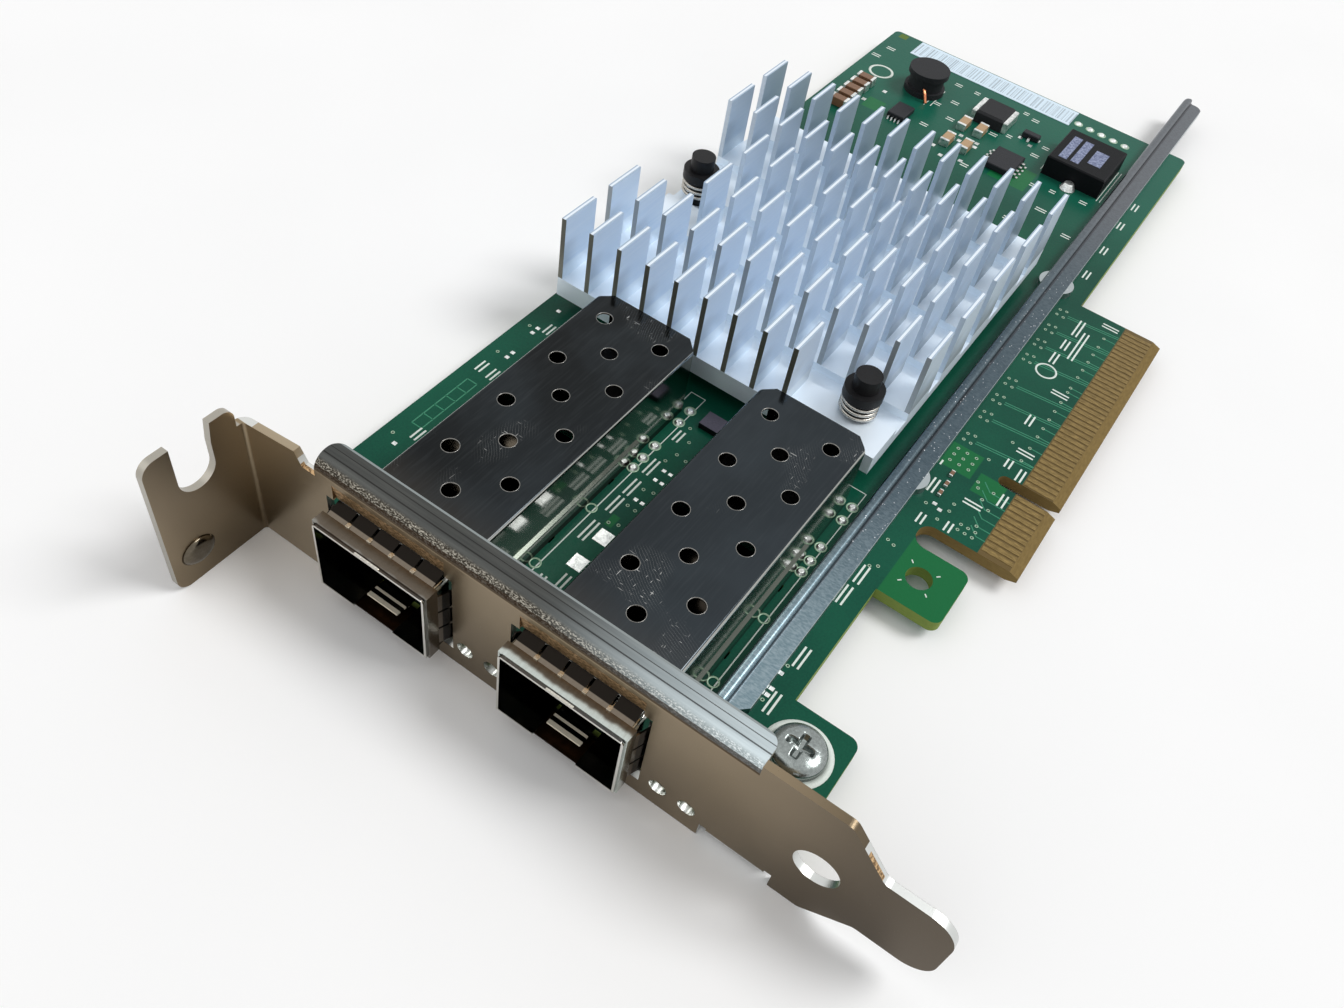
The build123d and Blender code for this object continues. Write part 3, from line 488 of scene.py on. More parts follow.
# Silkscreen: white epoxy ink printed on the mask, as lines beside the cages, rings round the screw and at
# two other places, ticks round the tab's hole, and pairs of short strokes beside the parts.
INK_LIFT = 0.015
INK_LINE = 0.16
CAGE_LINE_OFFSET = 8.3
CAGE_LINE_NEAR_X = -47.8
CAGE_LINE_FAR_X = -13.6
CAGE_LINE_HOOK = 2.1
CAGE_LINE_END_X = -15.3
TAB_HOLE = (-20.5, 9.2)
TICK_NEAR, TICK_FAR = 1.5, 1.85
ink = two_tone("white_ink", "#cfdcd2", "#f2f6f1", (7.0, 3.0), (0.42, 0.2), 0.01, gloss=0.25)
ink_z = BOARD_TOP + INK_LIFT / 2
ink_paths = []
for port_y in PORTS:
    low = port_y - CAGE_LINE_OFFSET
    ink_paths.append([(CAGE_LINE_NEAR_X, low, ink_z), (CAGE_LINE_FAR_X, low, ink_z),
                      (CAGE_LINE_FAR_X, low + CAGE_LINE_HOOK, ink_z),
                      (CAGE_LINE_END_X, low + CAGE_LINE_HOOK, ink_z)])
for across, along in ((1, 1), (-1, 1), (1, -1), (-1, -1)):
    ink_paths.append([(TAB_HOLE[0] + across * reach, TAB_HOLE[1] + along * reach, ink_z)
                      for reach in (TICK_NEAR, TICK_FAR)])
ink_paths += [[(66.7, y, ink_z), (77.6, y, ink_z)] for y in (19.7, 20.25)]
ink_paths += [[(70.9, 53.8, ink_z), (78.4, 53.4, ink_z)], [(71.4, 52.8, ink_z), (77.7, 52.9, ink_z)],
              [(68.3, 30.7, ink_z), (74.8, 30.7, ink_z)]]
cook(ribbon("ink_line", ink), sketch("ink_lines", *chain(ink_paths)), Width=INK_LINE, Height=INK_LIFT)
ink_ring = ring("ink_ring", ink, 48)
cook(ink_ring, sketch("screw_ring", [(-48.1, 9.2, ink_z)]), Radius=3.4, Width=0.8, Height=INK_LIFT)
cook(ink_ring, sketch("contact_ring", [(22.7, 11.1, ink_z)]), Radius=1.4, Width=0.28, Height=INK_LIFT)
cook(ink_ring, sketch("bare_ring", [(74.8, 64.2, ink_z)]), Radius=2.0, Width=0.45, Height=INK_LIFT)

# Each mark is (x, y, length), and is printed as a pair of thin strokes.
STROKE = 0.24
STROKE_GAP = 0.62
MARKS_ALONG_X = (
    (-38.2, 14.4, 3.0), (-44.8, 14.1, 2.9), (-28.1, 14.8, 3.0), (-24.4, 14.6, 3.0),
    (12.2, 9.1, 2.2), (3.1, 8.2, 1.7), (2.2, 6.2, 2.3), (-3.2, 6.3, 2.3), (-11.4, 9.8, 1.7),
    (-6.6, 14.1, 2.6), (-12.4, 13.0, 1.8), (-2.5, 15.3, 0.9), (-47.9, 41.5, 1.4),
    (-46.5, 39.5, 2.0), (-39.3, 41.6, 3.2), (-34.4, 41.6, 2.8), (-31.1, 41.6, 2.8),
    (-27.1, 41.7, 2.8), (-20.9, 42.0, 2.0), (-27.6, 67.0, 2.0), (-27.8, 65.1, 2.0),
    (-16.8, 65.1, 2.0), (-41.0, 65.1, 2.0), (69.8, 14.6, 2.2), (63.1, 14.7, 2.2), (54.9, 14.5, 2.2),
    (47.1, 14.4, 2.2), (26.0, 11.2, 2.6), (29.7, 11.0, 2.4), (34.4, 10.8, 4.0), (30.7, 9.4, 7.0))
MARKS_ALONG_Y = (
    (37.9, 7.2, 2.4), (19.6, 7.8, 2.4), (6.2, 7.2, 2.3), (-6.2, 9.0, 2.4), (81.6, 52.0, 1.3),
    (73.0, 52.1, 1.1), (75.7, 50.0, 1.4), (70.3, 48.4, 1.4), (65.3, 51.0, 1.4), (71.7, 40.9, 1.4),
    (73.3, 38.6, 1.0), (74.7, 32.4, 1.2), (71.2, 33.0, 1.4), (59.5, 40.7, 1.3), (62.9, 29.7, 1.4),
    (63.6, 26.7, 1.0), (64.5, 21.7, 1.3), (57.4, 26.2, 1.8), (51.3, 29.4, 1.4), (53.8, 20.5, 1.5),
    (82.4, 39.2, 1.0), (81.5, 37.1, 1.3), (81.7, 48.4, 1.0), (83.3, 66.6, 1.6), (79.2, 67.5, 1.6))


def printed(x, y, length, across):
    """The boxes of one mark's two strokes, lying across or along the card."""
    strokes = []
    for side in (-STROKE_GAP / 2, STROKE_GAP / 2):
        middle_x, middle_y = (x, y + side) if across else (x + side, y)
        half_x, half_y = (length / 2, STROKE / 2) if across else (STROKE / 2, length / 2)
        strokes.append((middle_x - half_x, middle_y - half_y, middle_x + half_x, middle_y + half_y,
                        BOARD_TOP, BOARD_TOP + INK_LIFT))
    return strokes


mark_boxes = [box for mark in MARKS_ALONG_X for box in printed(*mark, True)]
mark_boxes += [box for mark in MARKS_ALONG_Y for box in printed(*mark, False)]
plates("print_marks", ink, mark_boxes)


# Edge contacts: narrow copper fingers along the board's lower edge, on both faces, plated with gold over
# nickel. The springs of the socket have rubbed them along their length.
gold = Finish("gold_plate", metallic=1.0)
rub = gold.noise(2.2, 4.0, (6, 0.5, 1))
gold.wear(colour=gold.mix(rub.rise(0.3, 0.7), "#685838", "#957f52"), roughness=0.25 + rub * 0.25,
          height=rub, depth=0.01)
give("edge_contacts", gold)


# Bracket: one sheet of nickel-plated steel, stamped and folded, which a lug under the board holds. Its
# face is satin with a painted brown reflection, its cut edges are bare steel with a painted highlight, the
# long fold carries painted glints and painted shade, the press has left grooves beside it, drawn as
# painted shade, and a rough coined band over each port.
SHEET = 0.86
FACE_X = -59.67
SEAT_Y = 70.0
CUT_SKIN = 0.015
FLANGE_Y = (9.6, 60.5)
FLANGE_TOP = 16.0
FLANGE_FAR_X = -56.4
FOLD_GROOVE_X = -58.25
SECOND_GROOVE_X = -57.35
COIN_Z = (11.5, 13.7)
plate = Finish("bracket_nickel", metallic=1.0)
cloud = plate.noise(0.06, 3.0)
grain = plate.noise(9.0, 2.0)
# Painted reflection: the face's brown tone is the nickel's reflection of brown surroundings, painted lighter
# towards the top, darker towards the tongue, and lighter up the tab and on the face beside the tab.
face = plate.mix(plate.z.rise(-3.0, 13.0), "#70634f", "#8f8068")
face = plate.mix(cloud.rise(0.35, 0.7) * 0.4, face, "#9a8a73")
face = plate.mix(1 - plate.y.rise(-6.0, 15.0), face, "#54493a")
face = plate.mix((plate.x < -60.0) * plate.z.rise(0.0, 12.0) * 0.6, face, "#a99a85")
face = plate.mix((plate.x > FACE_X - 0.03) * plate.y.rise(57.0, 63.0) * 0.6, face, "#b5a68e")
# The cut edges are bare steel, painted near white on the face and pale grey on the tab as a painted
# highlight.
front_cut = plate.inside(plate.x, FACE_X + CUT_SKIN, FACE_X + SHEET - CUT_SKIN, 0.004) * (plate.z < 14.3)
in_dimple = plate.inside(plate.x, -69.8, -66.0) * plate.inside(plate.z, 0.4, 3.0)
tab_cut = plate.inside(plate.y, SEAT_Y + 0.01, SEAT_Y + SHEET - 0.01, 0.004) * (plate.x < -60.1)
tab_cut = tab_cut * (1 - in_dimple)
beside_flange = (plate.y > FLANGE_Y[0]) * (plate.y < FLANGE_Y[1])
by_tab = plate.y.rise(8.0, 36.0)
# On the long fold: painted glints, bright near the tab and dark away from it, a band of painted shade just
# below the fold, and the flange's top painted pale near the tab and dark away from it over real rolling
# streaks.
bend = plate.inside(plate.x, FACE_X + 0.07, -58.2, 0.03) * (plate.z > 14.5) * beside_flange
shade_below_bend = plate.inside(plate.z, 14.45, 15.05, 0.08) * (plate.x < FACE_X + 0.22) * beside_flange
upper_bend = plate.z.rise(15.45, 15.8)
fold_glints = plate.noise(8.0, 4.0, (1, 0.45, 1), 0.7).rise(0.47, 0.62) * (1 - upper_bend)
far_fold_glints = plate.mix(fold_glints, "#37332c", "#a9a498")
bend_colour = plate.mix(by_tab, plate.mix(fold_glints, "#a3aeb0", "#dfe7e8"), far_fold_glints)
streak = plate.noise(1.4, 3.0, (2, 0.08, 1))
far_top = plate.mix(streak, "#383a3a", "#5c5d5a")
top_face = plate.mix(by_tab, plate.mix(streak, "#a3afb3", "#cfdadd"), far_top)
bend_colour = plate.mix(upper_bend, bend_colour, top_face)
on_top = (plate.z > FLANGE_TOP - 0.05) * (plate.x > FOLD_GROOVE_X - 0.1)
# Painted shade: the grooves beside the fold are drawn as dark lines.
groove_shade = (abs(plate.x - FOLD_GROOVE_X) < 0.07) | (abs(plate.x - SECOND_GROOVE_X) < 0.05)
groove_shade = groove_shade * (plate.z > FLANGE_TOP - 0.2) * beside_flange
rear_edge = (plate.z > FLANGE_TOP - 1.0) * (plate.x > FLANGE_FAR_X - 0.22)
coin = plate.inside(plate.z, *COIN_Z, 0.05) * (plate.x > FACE_X + 0.01) * (plate.x < FACE_X + 0.47)
rough_coin = plate.mix(plate.noise(3.0, 4.0, (1, 1, 2)).rise(0.35, 0.65), "#6e573d", "#d2b186")
skin_colour = plate.mix(front_cut * 0.85, face, "#dde0de")
skin_colour = plate.mix(tab_cut * 0.85, skin_colour, "#aaa79e")
skin_colour = plate.mix(coin, skin_colour, rough_coin)
skin_colour = plate.mix(bend, skin_colour, bend_colour)
skin_colour = plate.mix(shade_below_bend * 0.8, skin_colour, "#33261a")
skin_colour = plate.mix(on_top, skin_colour, top_face)
skin_colour = plate.mix(groove_shade * 0.8, skin_colour, "#2c2b2a")
skin_colour = plate.mix(rear_edge, skin_colour, "#8f9696")
plate.wear(colour=skin_colour, roughness=0.24 + grain * 0.12 + coin * 0.2, height=grain + fold_glints * bend,
           depth=0.008)
give("bracket", plate)

DIMPLE = (-67.95, SEAT_Y, 1.75)
DIMPLE_HALF_X = 2.05
DIMPLE_HALF_Z = 1.75
DIMPLE_DEPTH = 0.55
DIMPLE_RINGS, DIMPLE_TURNS = 12, 40
pressed_steel = two_tone("pressed_dimple", "#4c463b", "#6f675a", (3.0, 2.0), (0.12, 0.1), 0.01, metallic=1.0)


def dimple_place(reach, turn):
    """A place on the dimple's skin, at a share of its half width and an angle from +X."""
    depth = DIMPLE_DEPTH * (1 - reach ** 5)
    return Vector((DIMPLE[0] + DIMPLE_HALF_X * reach * math.cos(turn), DIMPLE[1] - depth,
                   DIMPLE[2] + DIMPLE_HALF_Z * reach * math.sin(turn))) * MM


def shell(name, finish, rows, middle, foot):
    """A closed turned skin, from its middle out through rows of places to the foot that closes it."""
    shape = bmesh.new()
    loops = [[shape.verts.new(place) for place in row] for row in rows]
    first, last = shape.verts.new(middle), shape.verts.new(foot)
    for i in range(len(loops[0])):
        after = (i + 1) % len(loops[0])
        shape.faces.new((first, loops[0][i], loops[0][after]))
        shape.faces.new((last, loops[-1][after], loops[-1][i]))
        for inner, outer in zip(loops, loops[1:]):
            shape.faces.new((inner[i], outer[i], outer[after], inner[after]))
    bmesh.ops.recalc_face_normals(shape, faces=shape.faces)
    made = piece(name, shape, finish)
    made.data.shade_smooth()
    return made


dimple_rows = [[dimple_place((row + 1) / DIMPLE_RINGS, 2 * math.pi * i / DIMPLE_TURNS)
                for i in range(DIMPLE_TURNS)] for row in range(DIMPLE_RINGS)]
dimple = shell("tab_dimple", pressed_steel, dimple_rows, dimple_place(0.0, 0.0), Vector(DIMPLE) * MM)


# Bracket screw: a zinc-plated pan-head machine screw, cold formed with a cross recess, driven through the
# board into the bracket's lug.
SCREW = (-48.1, 9.2)
HEAD_RADIUS = 3.0
HEAD_HEIGHT = 1.9
HEAD_RIM = 0.75
RECESS_ARM = 1.65
RECESS_HALF = 0.42
RECESS_END = 0.5
RECESS_DEPTH = 1.0
SHANK_RADIUS = 1.5
SHANK_END = -1.945
HEAD_TURNS, HEAD_RINGS = 96, 30
head_turns = [2 * math.pi * i / HEAD_TURNS for i in range(HEAD_TURNS)]
screw_zinc = two_tone("screw_zinc", "#6f7573", "#a5acaa", (3.0, 3.0), (0.16, 0.12), 0.02, metallic=1.0)


def head_height(x, y):
    """The pan head's height above the board at a place from its axis, with the cross recess pressed in."""
    radius = min(math.hypot(x, y), HEAD_RADIUS)
    dome = HEAD_RIM + (HEAD_HEIGHT - HEAD_RIM) * math.sqrt(max(0.0, 1 - (radius / HEAD_RADIUS) ** 2.4))
    across, along = sorted((abs(x), abs(y)))
    wall = max(0.0, 1 - max(0.0, across - RECESS_HALF * 0.6) / (RECESS_HALF * 0.5))
    end = max(0.0, min(1.0, (RECESS_ARM - along) / RECESS_END))
    return dome - RECESS_DEPTH * wall * end * (0.55 + 0.45 * (1 - along / RECESS_ARM))


def head_place(reach, turn):
    """A place on the pan head, at a share of its radius and an angle from +X."""
    x, y = HEAD_RADIUS * reach * math.cos(turn), HEAD_RADIUS * reach * math.sin(turn)
    return Vector((SCREW[0] + x, SCREW[1] + y, BOARD_TOP + head_height(x, y))) * MM


def screw_circle(radius, z):
    """Places round the screw's axis, at a height."""
    return [Vector((SCREW[0] + radius * math.cos(turn), SCREW[1] + radius * math.sin(turn), z)) * MM
            for turn in head_turns]


head_rows = []
for row in range(HEAD_RINGS):
    reach = math.sin(math.pi / 2 * (row + 1) / HEAD_RINGS)
    head_rows.append([head_place(reach, turn) for turn in head_turns])
head_rows.append(screw_circle(HEAD_RADIUS, BOARD_TOP))
head_rows.append(screw_circle(SHANK_RADIUS, BOARD_TOP))
head_rows.append(screw_circle(SHANK_RADIUS, SHANK_END))
shank_foot = Vector((*SCREW, SHANK_END)) * MM
pan_head = shell("pan_head", screw_zinc, head_rows, head_place(0.0, 0.0), shank_foot)
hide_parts("bracket_screw")


# Transceiver cages: a folded cover with rows of vent holes over a tray pinned to the board, of thin
# nickel-silver sheet with a mirror finish and the fine curved scratches of handling. The vent holes have a
# round pressed rim.
CAGE_TOP = 10.6
CAGE_FRONT_X = -62.64
LATCH_HALF = 2.05
cage = Finish("cage_sheet", metallic=1.0)
haze = cage.noise(0.08, 3.0)
sweep = cage.node("TexWave", {"wave_type": "RINGS", "rings_direction": "Z", "wave_profile": "SAW"},
                  {"Vector": cage.stretched((1, 1, 0)), "Scale": 1.1, "Distortion": 7.0, "Detail": 3.0,
                   "Detail Scale": 0.3})
handled = cage.noise(0.11, 1.0).rise(0.56, 0.66)
nicks_along = cage.noise(1.8, 1.0, (0.4, 3.4, 0)).rise(0.7, 0.74)
nicks_across = cage.noise(1.8, 1.0, (3.4, 0.4, 0)).rise(0.7, 0.74)
on_cover = cage.z > CAGE_TOP - 0.05
scratch = (sweep.rise(0.93, 1.0) * 0.6 | nicks_along | nicks_across) * handled * on_cover
brushed_top = cage.noise(2.6, 3.0, (0.1, 2.0, 1))
# Painted reflection: the mirror top is painted near black, brown near the bracket and paler towards the
# second port, and the walls are painted much paler than the top. The scratches are real.
top = cage.mix(cage.x.rise(-62.0, -48.0), "#4f463c", "#232526")
top = cage.mix(haze.rise(0.4, 0.7) * 0.4, top, "#3b4145")
top = cage.mix(brushed_top.rise(0.45, 0.75) * 0.12, top, "#565a5c")
top = cage.mix((1 - cage.y.rise(22.0, 56.0)) * 0.3, top, "#4c555c")
top = cage.mix(scratch * 0.75, top, "#c9c9c6")
wall = cage.mix(haze, "#8d8f8c", "#b4b5b0")
# Painted highlights: the front cut edge of each mouth, and the cover's roof seen between the collar's
# fingers, which lies in shade, are painted near white.
mouth_highlight = cage.x < CAGE_FRONT_X + 0.01
flap_edge = cage.inside(cage.z, 3.3, 3.41, 0.01)
painted_light_in_gaps = cage.inside(cage.x, -60.9, -58.9, 0.05) * on_cover
# Painted highlights: two bands across each latch tongue are painted bright cream, rougher and barely
# metallic.
in_latch = abs(abs(cage.y - sum(PORTS) / 2) - (PORTS[0] - PORTS[1]) / 2) < LATCH_HALF
latch_highlight_bands = (cage.x < -60.75) | cage.inside(cage.x, -60.2, -59.9)
latch_highlight = (cage.z < 2.4) * (cage.z > 1.15) * in_latch * latch_highlight_bands
# Painted shade: the tray's floor inside each cage is painted dark brown.
inner_floor_shade = (cage.z < 1.8) * (cage.x > -60.7)
sheet_colour = cage.mix(cage.z > CAGE_TOP - 0.1, wall, top)
sheet_colour = cage.mix(inner_floor_shade, sheet_colour, "#35302a")
sheet_colour = cage.mix(flap_edge, sheet_colour, "#747972")
sheet_colour = cage.mix(mouth_highlight | painted_light_in_gaps, sheet_colour, "#d9d7d0")
sheet_colour = cage.mix(latch_highlight, sheet_colour, "#efe6d0")
cage.wear(colour=sheet_colour, roughness=0.07 + haze * 0.08 + scratch * 0.2 + latch_highlight * 0.3,
          metallic=1 - latch_highlight * 0.8, height=scratch, depth=0.004)
for node in ("cage_cover_1", "cage_cover_2", "cage_tray_1", "cage_tray_2"):
    give(node, cage)

VENT_RADIUS = 1.0
VENT_ROWS = 4
VENT_X = -19.55
VENT_PITCH = 8.94
VENT_HALF_GAP = 3.99
rim_steel = two_tone("vent_rim", "#5d5c59", "#a3a19c", (3.0, 2.0), (0.14, 0.2), 0.02, metallic=1.0)
vent_places = []
for port_y in PORTS:
    for row in range(VENT_ROWS):
        x = VENT_X - VENT_PITCH * row
        vent_places += [(x, port_y - VENT_HALF_GAP), (x, port_y + VENT_HALF_GAP)]
        vent_places.append((x - VENT_PITCH / 2, port_y))
rims = sketch("vent_rims", [(x, y, CAGE_TOP - 0.1) for x, y in vent_places])
cook(ring("vent_rim", rim_steel, 48), rims, Radius=VENT_RADIUS, Width=0.07, Height=0.22)


# Spring-finger collars: a bright tempered strip clipped round each cage's mouth, whose fingers press on the
# bracket. The cut teeth and the lips of the mouths carry painted highlights, the fingers painted shade, and
# dark plates of painted shade bridge the notch in the strip's bottom part.
COLLAR_FRONT_X = -62.34
COLLAR_SKIN = 0.2
FINGER_PITCH = 2.75
NOTCH_HALF = 2.59
spring_strip = Finish("collar_strip", metallic=1.0)
rolled = spring_strip.noise(1.5, 3.0, (0.4, 3, 3))
wavy = spring_strip.x + spring_strip.noise(0.35, 2.0, (0, 1, 1)) * 1.6
# Painted light: the strip is painted paler on the second port's mouth, bright up to a wavy line and darker
# behind it, and its fingers near black as painted shade. The rolling marks are real.
by_second_port = spring_strip.y < sum(PORTS) / 2
front = spring_strip.mix(by_second_port, "#8d8c86", "#cdd6d1")
from_band = wavy + 61.4 + by_second_port * -0.5
band = spring_strip.mix(from_band.rise(-0.3, 0.15), front, "#5f564b")
finger_shade = spring_strip.x.rise(-60.5, -60.42)
strip = spring_strip.mix(finger_shade, spring_strip.mix(rolled * 0.25, band, "#8d867c"), "#1d1a17")
spring_strip.wear(colour=strip, roughness=0.14 + rolled * 0.15, height=rolled, depth=0.01)
for node in ("finger_collar_1", "finger_collar_2"):
    give(node, spring_strip)

# The sheared teeth and the mouths' lips are painted bright as highlights.
bright_edge = two_tone("sheared_edge", "#b5b1a6", "#ece9df", (4.0, 3.0), (0.16, 0.2), 0.02, metallic=1.0)
collar_top = CAGE_TOP + COLLAR_SKIN
teeth = [(-60.95, port_y + step * FINGER_PITCH - 0.24, -60.4, port_y + step * FINGER_PITCH + 0.24,
          collar_top - 0.05, collar_top + 0.16) for port_y in PORTS for step in (-1.5, -0.5, 0.5, 1.5)]
lips = [(CAGE_FRONT_X, port_y - 1.5, CAGE_FRONT_X + 0.2, port_y + 1.6, CAGE_TOP - 0.02, CAGE_TOP + 0.1)
        for port_y in PORTS]
plates("collar_teeth", bright_edge, teeth, bevel=0.03)
plates("mouth_lips", bright_edge, lips, bevel=0.03)
# Dark plates of painted shade close the notch in the strip's bottom part under each mouth.
notch_shade = two_tone("collar_underside", "#1a120c", "#3b2617", (1.2, 3.0), (0.25, 0.2), 0.01, metallic=1.0)
bridges = [(COLLAR_FRONT_X, port_y - NOTCH_HALF, -59.3, port_y + NOTCH_HALF,
            BOARD_TOP - COLLAR_SKIN, BOARD_TOP) for port_y in PORTS]
plates("collar_bridges", notch_shade, bridges, bevel=0.03)


# Host connectors and push pins: moulded in black glass-filled nylon. The connectors are soldered inside
# the cages, and the barbed pins snap into holes of the board and hold the heat sink.
nylon = two_tone("black_nylon", "#0b0b0c", "#1b1b1d", (7.0, 3.0), (0.38, 0.2), 0.02, gloss=0.2)
for node in ("host_connector_1", "host_connector_2", "push_pin_1", "push_pin_2"):
    give(node, nylon)


# Heat sink: an aluminium extrusion whose fins were then cut across into posts, etched to a pale satin.
# Two push pins and their springs hold it down on the controller chip.
FIN_FIRST_Y = 66.825
FIN_PITCH = 4.15
SINK_NEAR_X = -12.9
POST_PITCH = 9.42
POST_FOOT_Z = 5.95
POST_TOP_Z = 14.98
satin = Finish("sink_aluminium", metallic=0.45)
drawn = satin.noise(2.6, 4.0, (0.05, 1.2, 4))
fleck = satin.noise(11.0, 2.0)
satin_colour = satin.mix(drawn.rise(0.3, 0.7), "#d8e8f9", "#e4f0fd")
from_crest = abs((satin.y - FIN_FIRST_Y + FIN_PITCH / 2) % FIN_PITCH - FIN_PITCH / 2)
# Painted light: each post's top is painted darker with a bright painted highlight along its crest, the
# channel floors paler, and the fin sides darker towards the top.
post_top = satin.mix(from_crest < 0.15, "#a9bbce", "#e8f1fa")
below_top = satin.z < POST_TOP_Z
on_posts = (satin.z > POST_FOOT_Z) * below_top
satin_colour = satin.mix(satin.z > POST_TOP_Z, satin_colour, post_top)
satin_colour = satin.mix(satin.z < 8.0, satin_colour, "#eaf5ff")
satin_colour = satin.mix(satin.z.rise(7.0, 14.9) * below_top * 0.2, satin_colour, "#bccad9")
behind_front = (satin.x - SINK_NEAR_X + 0.02) % POST_PITCH
reflected = (1 - behind_front.rise(0.6, 3.4)) * satin.inside(satin.z, 8.6, 10.6, 1.6)
satin_colour = satin.mix(reflected * below_top * 0.25, satin_colour, "#5d6873")
# Painted shade: the posts are darkened low down near the bar, and darker towards the far end.
shade_by_bar = (1 - satin.y.rise(27.0, 40.0)) * (1 - satin.z.rise(6.2, 10.5)) * (satin.z > POST_FOOT_Z)
satin_colour = satin.mix(shade_by_bar * 0.6, satin_colour, "#646e79")
satin_colour = satin.mix(satin.x.rise(8.0, 40.0) * on_posts * 0.55, satin_colour, "#8599a8")
# Painted shade: the front row's end faces are painted dark olive grey, darker towards the top; the other end
# faces are painted pale.
first_end_shade = satin.mix(satin.z.rise(7.0, 12.0), "#7b7b72", "#585950")
end_colour = satin.mix(satin.x.rise(-10.0, 4.0), first_end_shade, "#c9d6e3")
satin_colour = satin.mix((behind_front < 0.05) * on_posts, satin_colour, end_colour)
satin.wear(colour=satin_colour, roughness=0.36 + fleck * 0.15, height=drawn * 0.3 + fleck * 0.3, depth=0.008)
give("heat_sink", satin)


# Controller chip: a laminate carrier soldered to the board, with a nickel-plated lid, and the soft pale pad
# of filled silicone that is laid between it and the heat sink.
lid = Finish("chip_lid_nickel", metallic=0.9)
on_lid = lid.z > 1.9
lid_grain = lid.noise(5.0, 3.0)
lid.wear(colour=lid.mix(on_lid, "#1d5a3c", lid.mix(lid_grain, "#9a9a98", "#bdbdba")), metallic=on_lid * 0.9,
         roughness=0.3 + lid_grain * 0.15, height=lid_grain, depth=0.01)
give("controller_chip", lid)
pad = two_tone("pad_silicone", "#8d9092", "#b3b5b6", (3.0, 4.0), (0.75, 0.15), 0.05)
give("thermal_pad", pad)


# Stiffener bar: a rolled steel section with a rounded ridge, which keeps the board flat. It stands on two
# bosses, and a pin through each of them is pressed into the board.
rolled_bar = Finish("bar_steel", metallic=1.0)
scale = rolled_bar.noise(3.2, 4.0, (1.6, 0.6, 1), 0.6)
near_end = 1 - rolled_bar.x.rise(-45.0, -5.0)
chatter = scale.rise(0.3, 0.7) * (0.25 + near_end * 0.75)
# Painted glints: small near-white specks scattered over the middle of the bar.
glint_specks = rolled_bar.cells(1.7) < 0.12
glint_specks = glint_specks * rolled_bar.inside(rolled_bar.x, -20.0, 38.0, 8.0)
bar_face = rolled_bar.mix(rolled_bar.x.rise(-46.0, -6.0), "#6f858e", "#48565e")
bar_face = rolled_bar.mix(rolled_bar.x.rise(30.0, 70.0), bar_face, "#5d6065")
bar_face = rolled_bar.mix(chatter * 0.5, bar_face, "#a9b7be")
# Painted shade: a dark line along the ridge's crease.
crease_shade = rolled_bar.inside(rolled_bar.y, 17.38, 17.62, 0.05) * (rolled_bar.z > 1.7)
bar_face = rolled_bar.mix(crease_shade * 0.7, bar_face, "#2e2e33")
# Painted highlight: the bar's side edges are painted pale.
bar_face = rolled_bar.mix((rolled_bar.y > 18.85) | (rolled_bar.y < 15.4), bar_face, "#aab2b4")
rolled_bar.wear(colour=rolled_bar.mix(glint_specks * 0.8, bar_face, "#e6e8ec"), roughness=0.24 + scale * 0.15,
                height=scale, depth=0.01)
give("stiffener_bar", rolled_bar)
give("bar_pins", screw_zinc)


# Coil springs of the push pins: bright drawn wire, coiled round each pin between its flange and the heat
# sink, so that the sink is pressed on the chip.
SPRING_PLACES = ((-7.3, 26.1), (15.0, 64.2))
SPRING_FOOT = 5.98
SPRING_HEIGHT = 2.55
SPRING_RADIUS = 2.2
SPRING_WIRE = 0.24
wire = two_tone("spring_wire", "#8a8781", "#c9c6bf", (4.0, 2.0), (0.2, 0.15), 0.01, metallic=1.0)
coil = Recipe("coil", Radius=SPRING_RADIUS, Height=SPRING_HEIGHT - 2 * SPRING_WIRE, Wire=SPRING_WIRE)
spiral = coil.node("GeometryNodeCurveSpiral", {}, {
    "Resolution": 40, "Rotations": 2.75, "Start Radius": coil.given["Radius"],
    "End Radius": coil.given["Radius"], "Height": coil.given["Height"]})
section = coil.node("GeometryNodeCurvePrimitiveCircle", {}, {"Resolution": 12, "Radius": coil.given["Wire"]})
turns = coil.node("GeometryNodeCurveToMesh", {}, {
    "Curve": spiral, "Profile Curve": section, "Fill Caps": True})
smooth_turns = coil.node("GeometryNodeSetShadeSmooth", {}, {"Geometry": turns})
coil.close(coil.coat(coil.on_points(smooth_turns), wire))
springs = sketch("pin_springs", [(x, y, SPRING_FOOT + SPRING_WIRE) for x, y in SPRING_PLACES])
cook(coil, springs)
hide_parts("pin_spring_1", "pin_spring_2")


# Status lights: small side-looking lights in pale moulded lenses, soldered to the board behind the
# bracket's small holes.
lens = two_tone("light_lens", "#e8ece6", "#f6f8f4", (2.0, 2.0), (0.15, 0.15), 0.01)
give("status_lights", lens)


# Moulded chips and the power module: black epoxy resin with a fine matt skin, moulded round leads of
# tinned copper that are soldered to the board. The module's pale fields are printed.
PRINT_LIFT = 0.01
MODULE_FIELDS = ((68.4, 27.6, 76.2, 29.0), (68.6, 25.6, 76.2, 27.0), (70.2, 22.4, 74.9, 24.6))
resin = two_tone("epoxy_resin", "#08090b", "#17191c", (10.0, 3.0), (0.42, 0.2), 0.02, gloss=0.1)
give("power_module", resin)
top_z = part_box("power_module")[1][2] / MM
field_ink = Finish("module_print", gloss=0.25)
smudge = field_ink.noise(2.5, 3.0)
field_ink.wear(colour=field_ink.mix(smudge.rise(0.3, 0.7), "#5a6384", "#98a1bd"),
               roughness=0.4 + smudge * 0.2, height=smudge, depth=0.01)
fields = [(*corners, top_z, top_z + PRINT_LIFT) for corners in MODULE_FIELDS]
plates("module_fields", field_ink, fields)


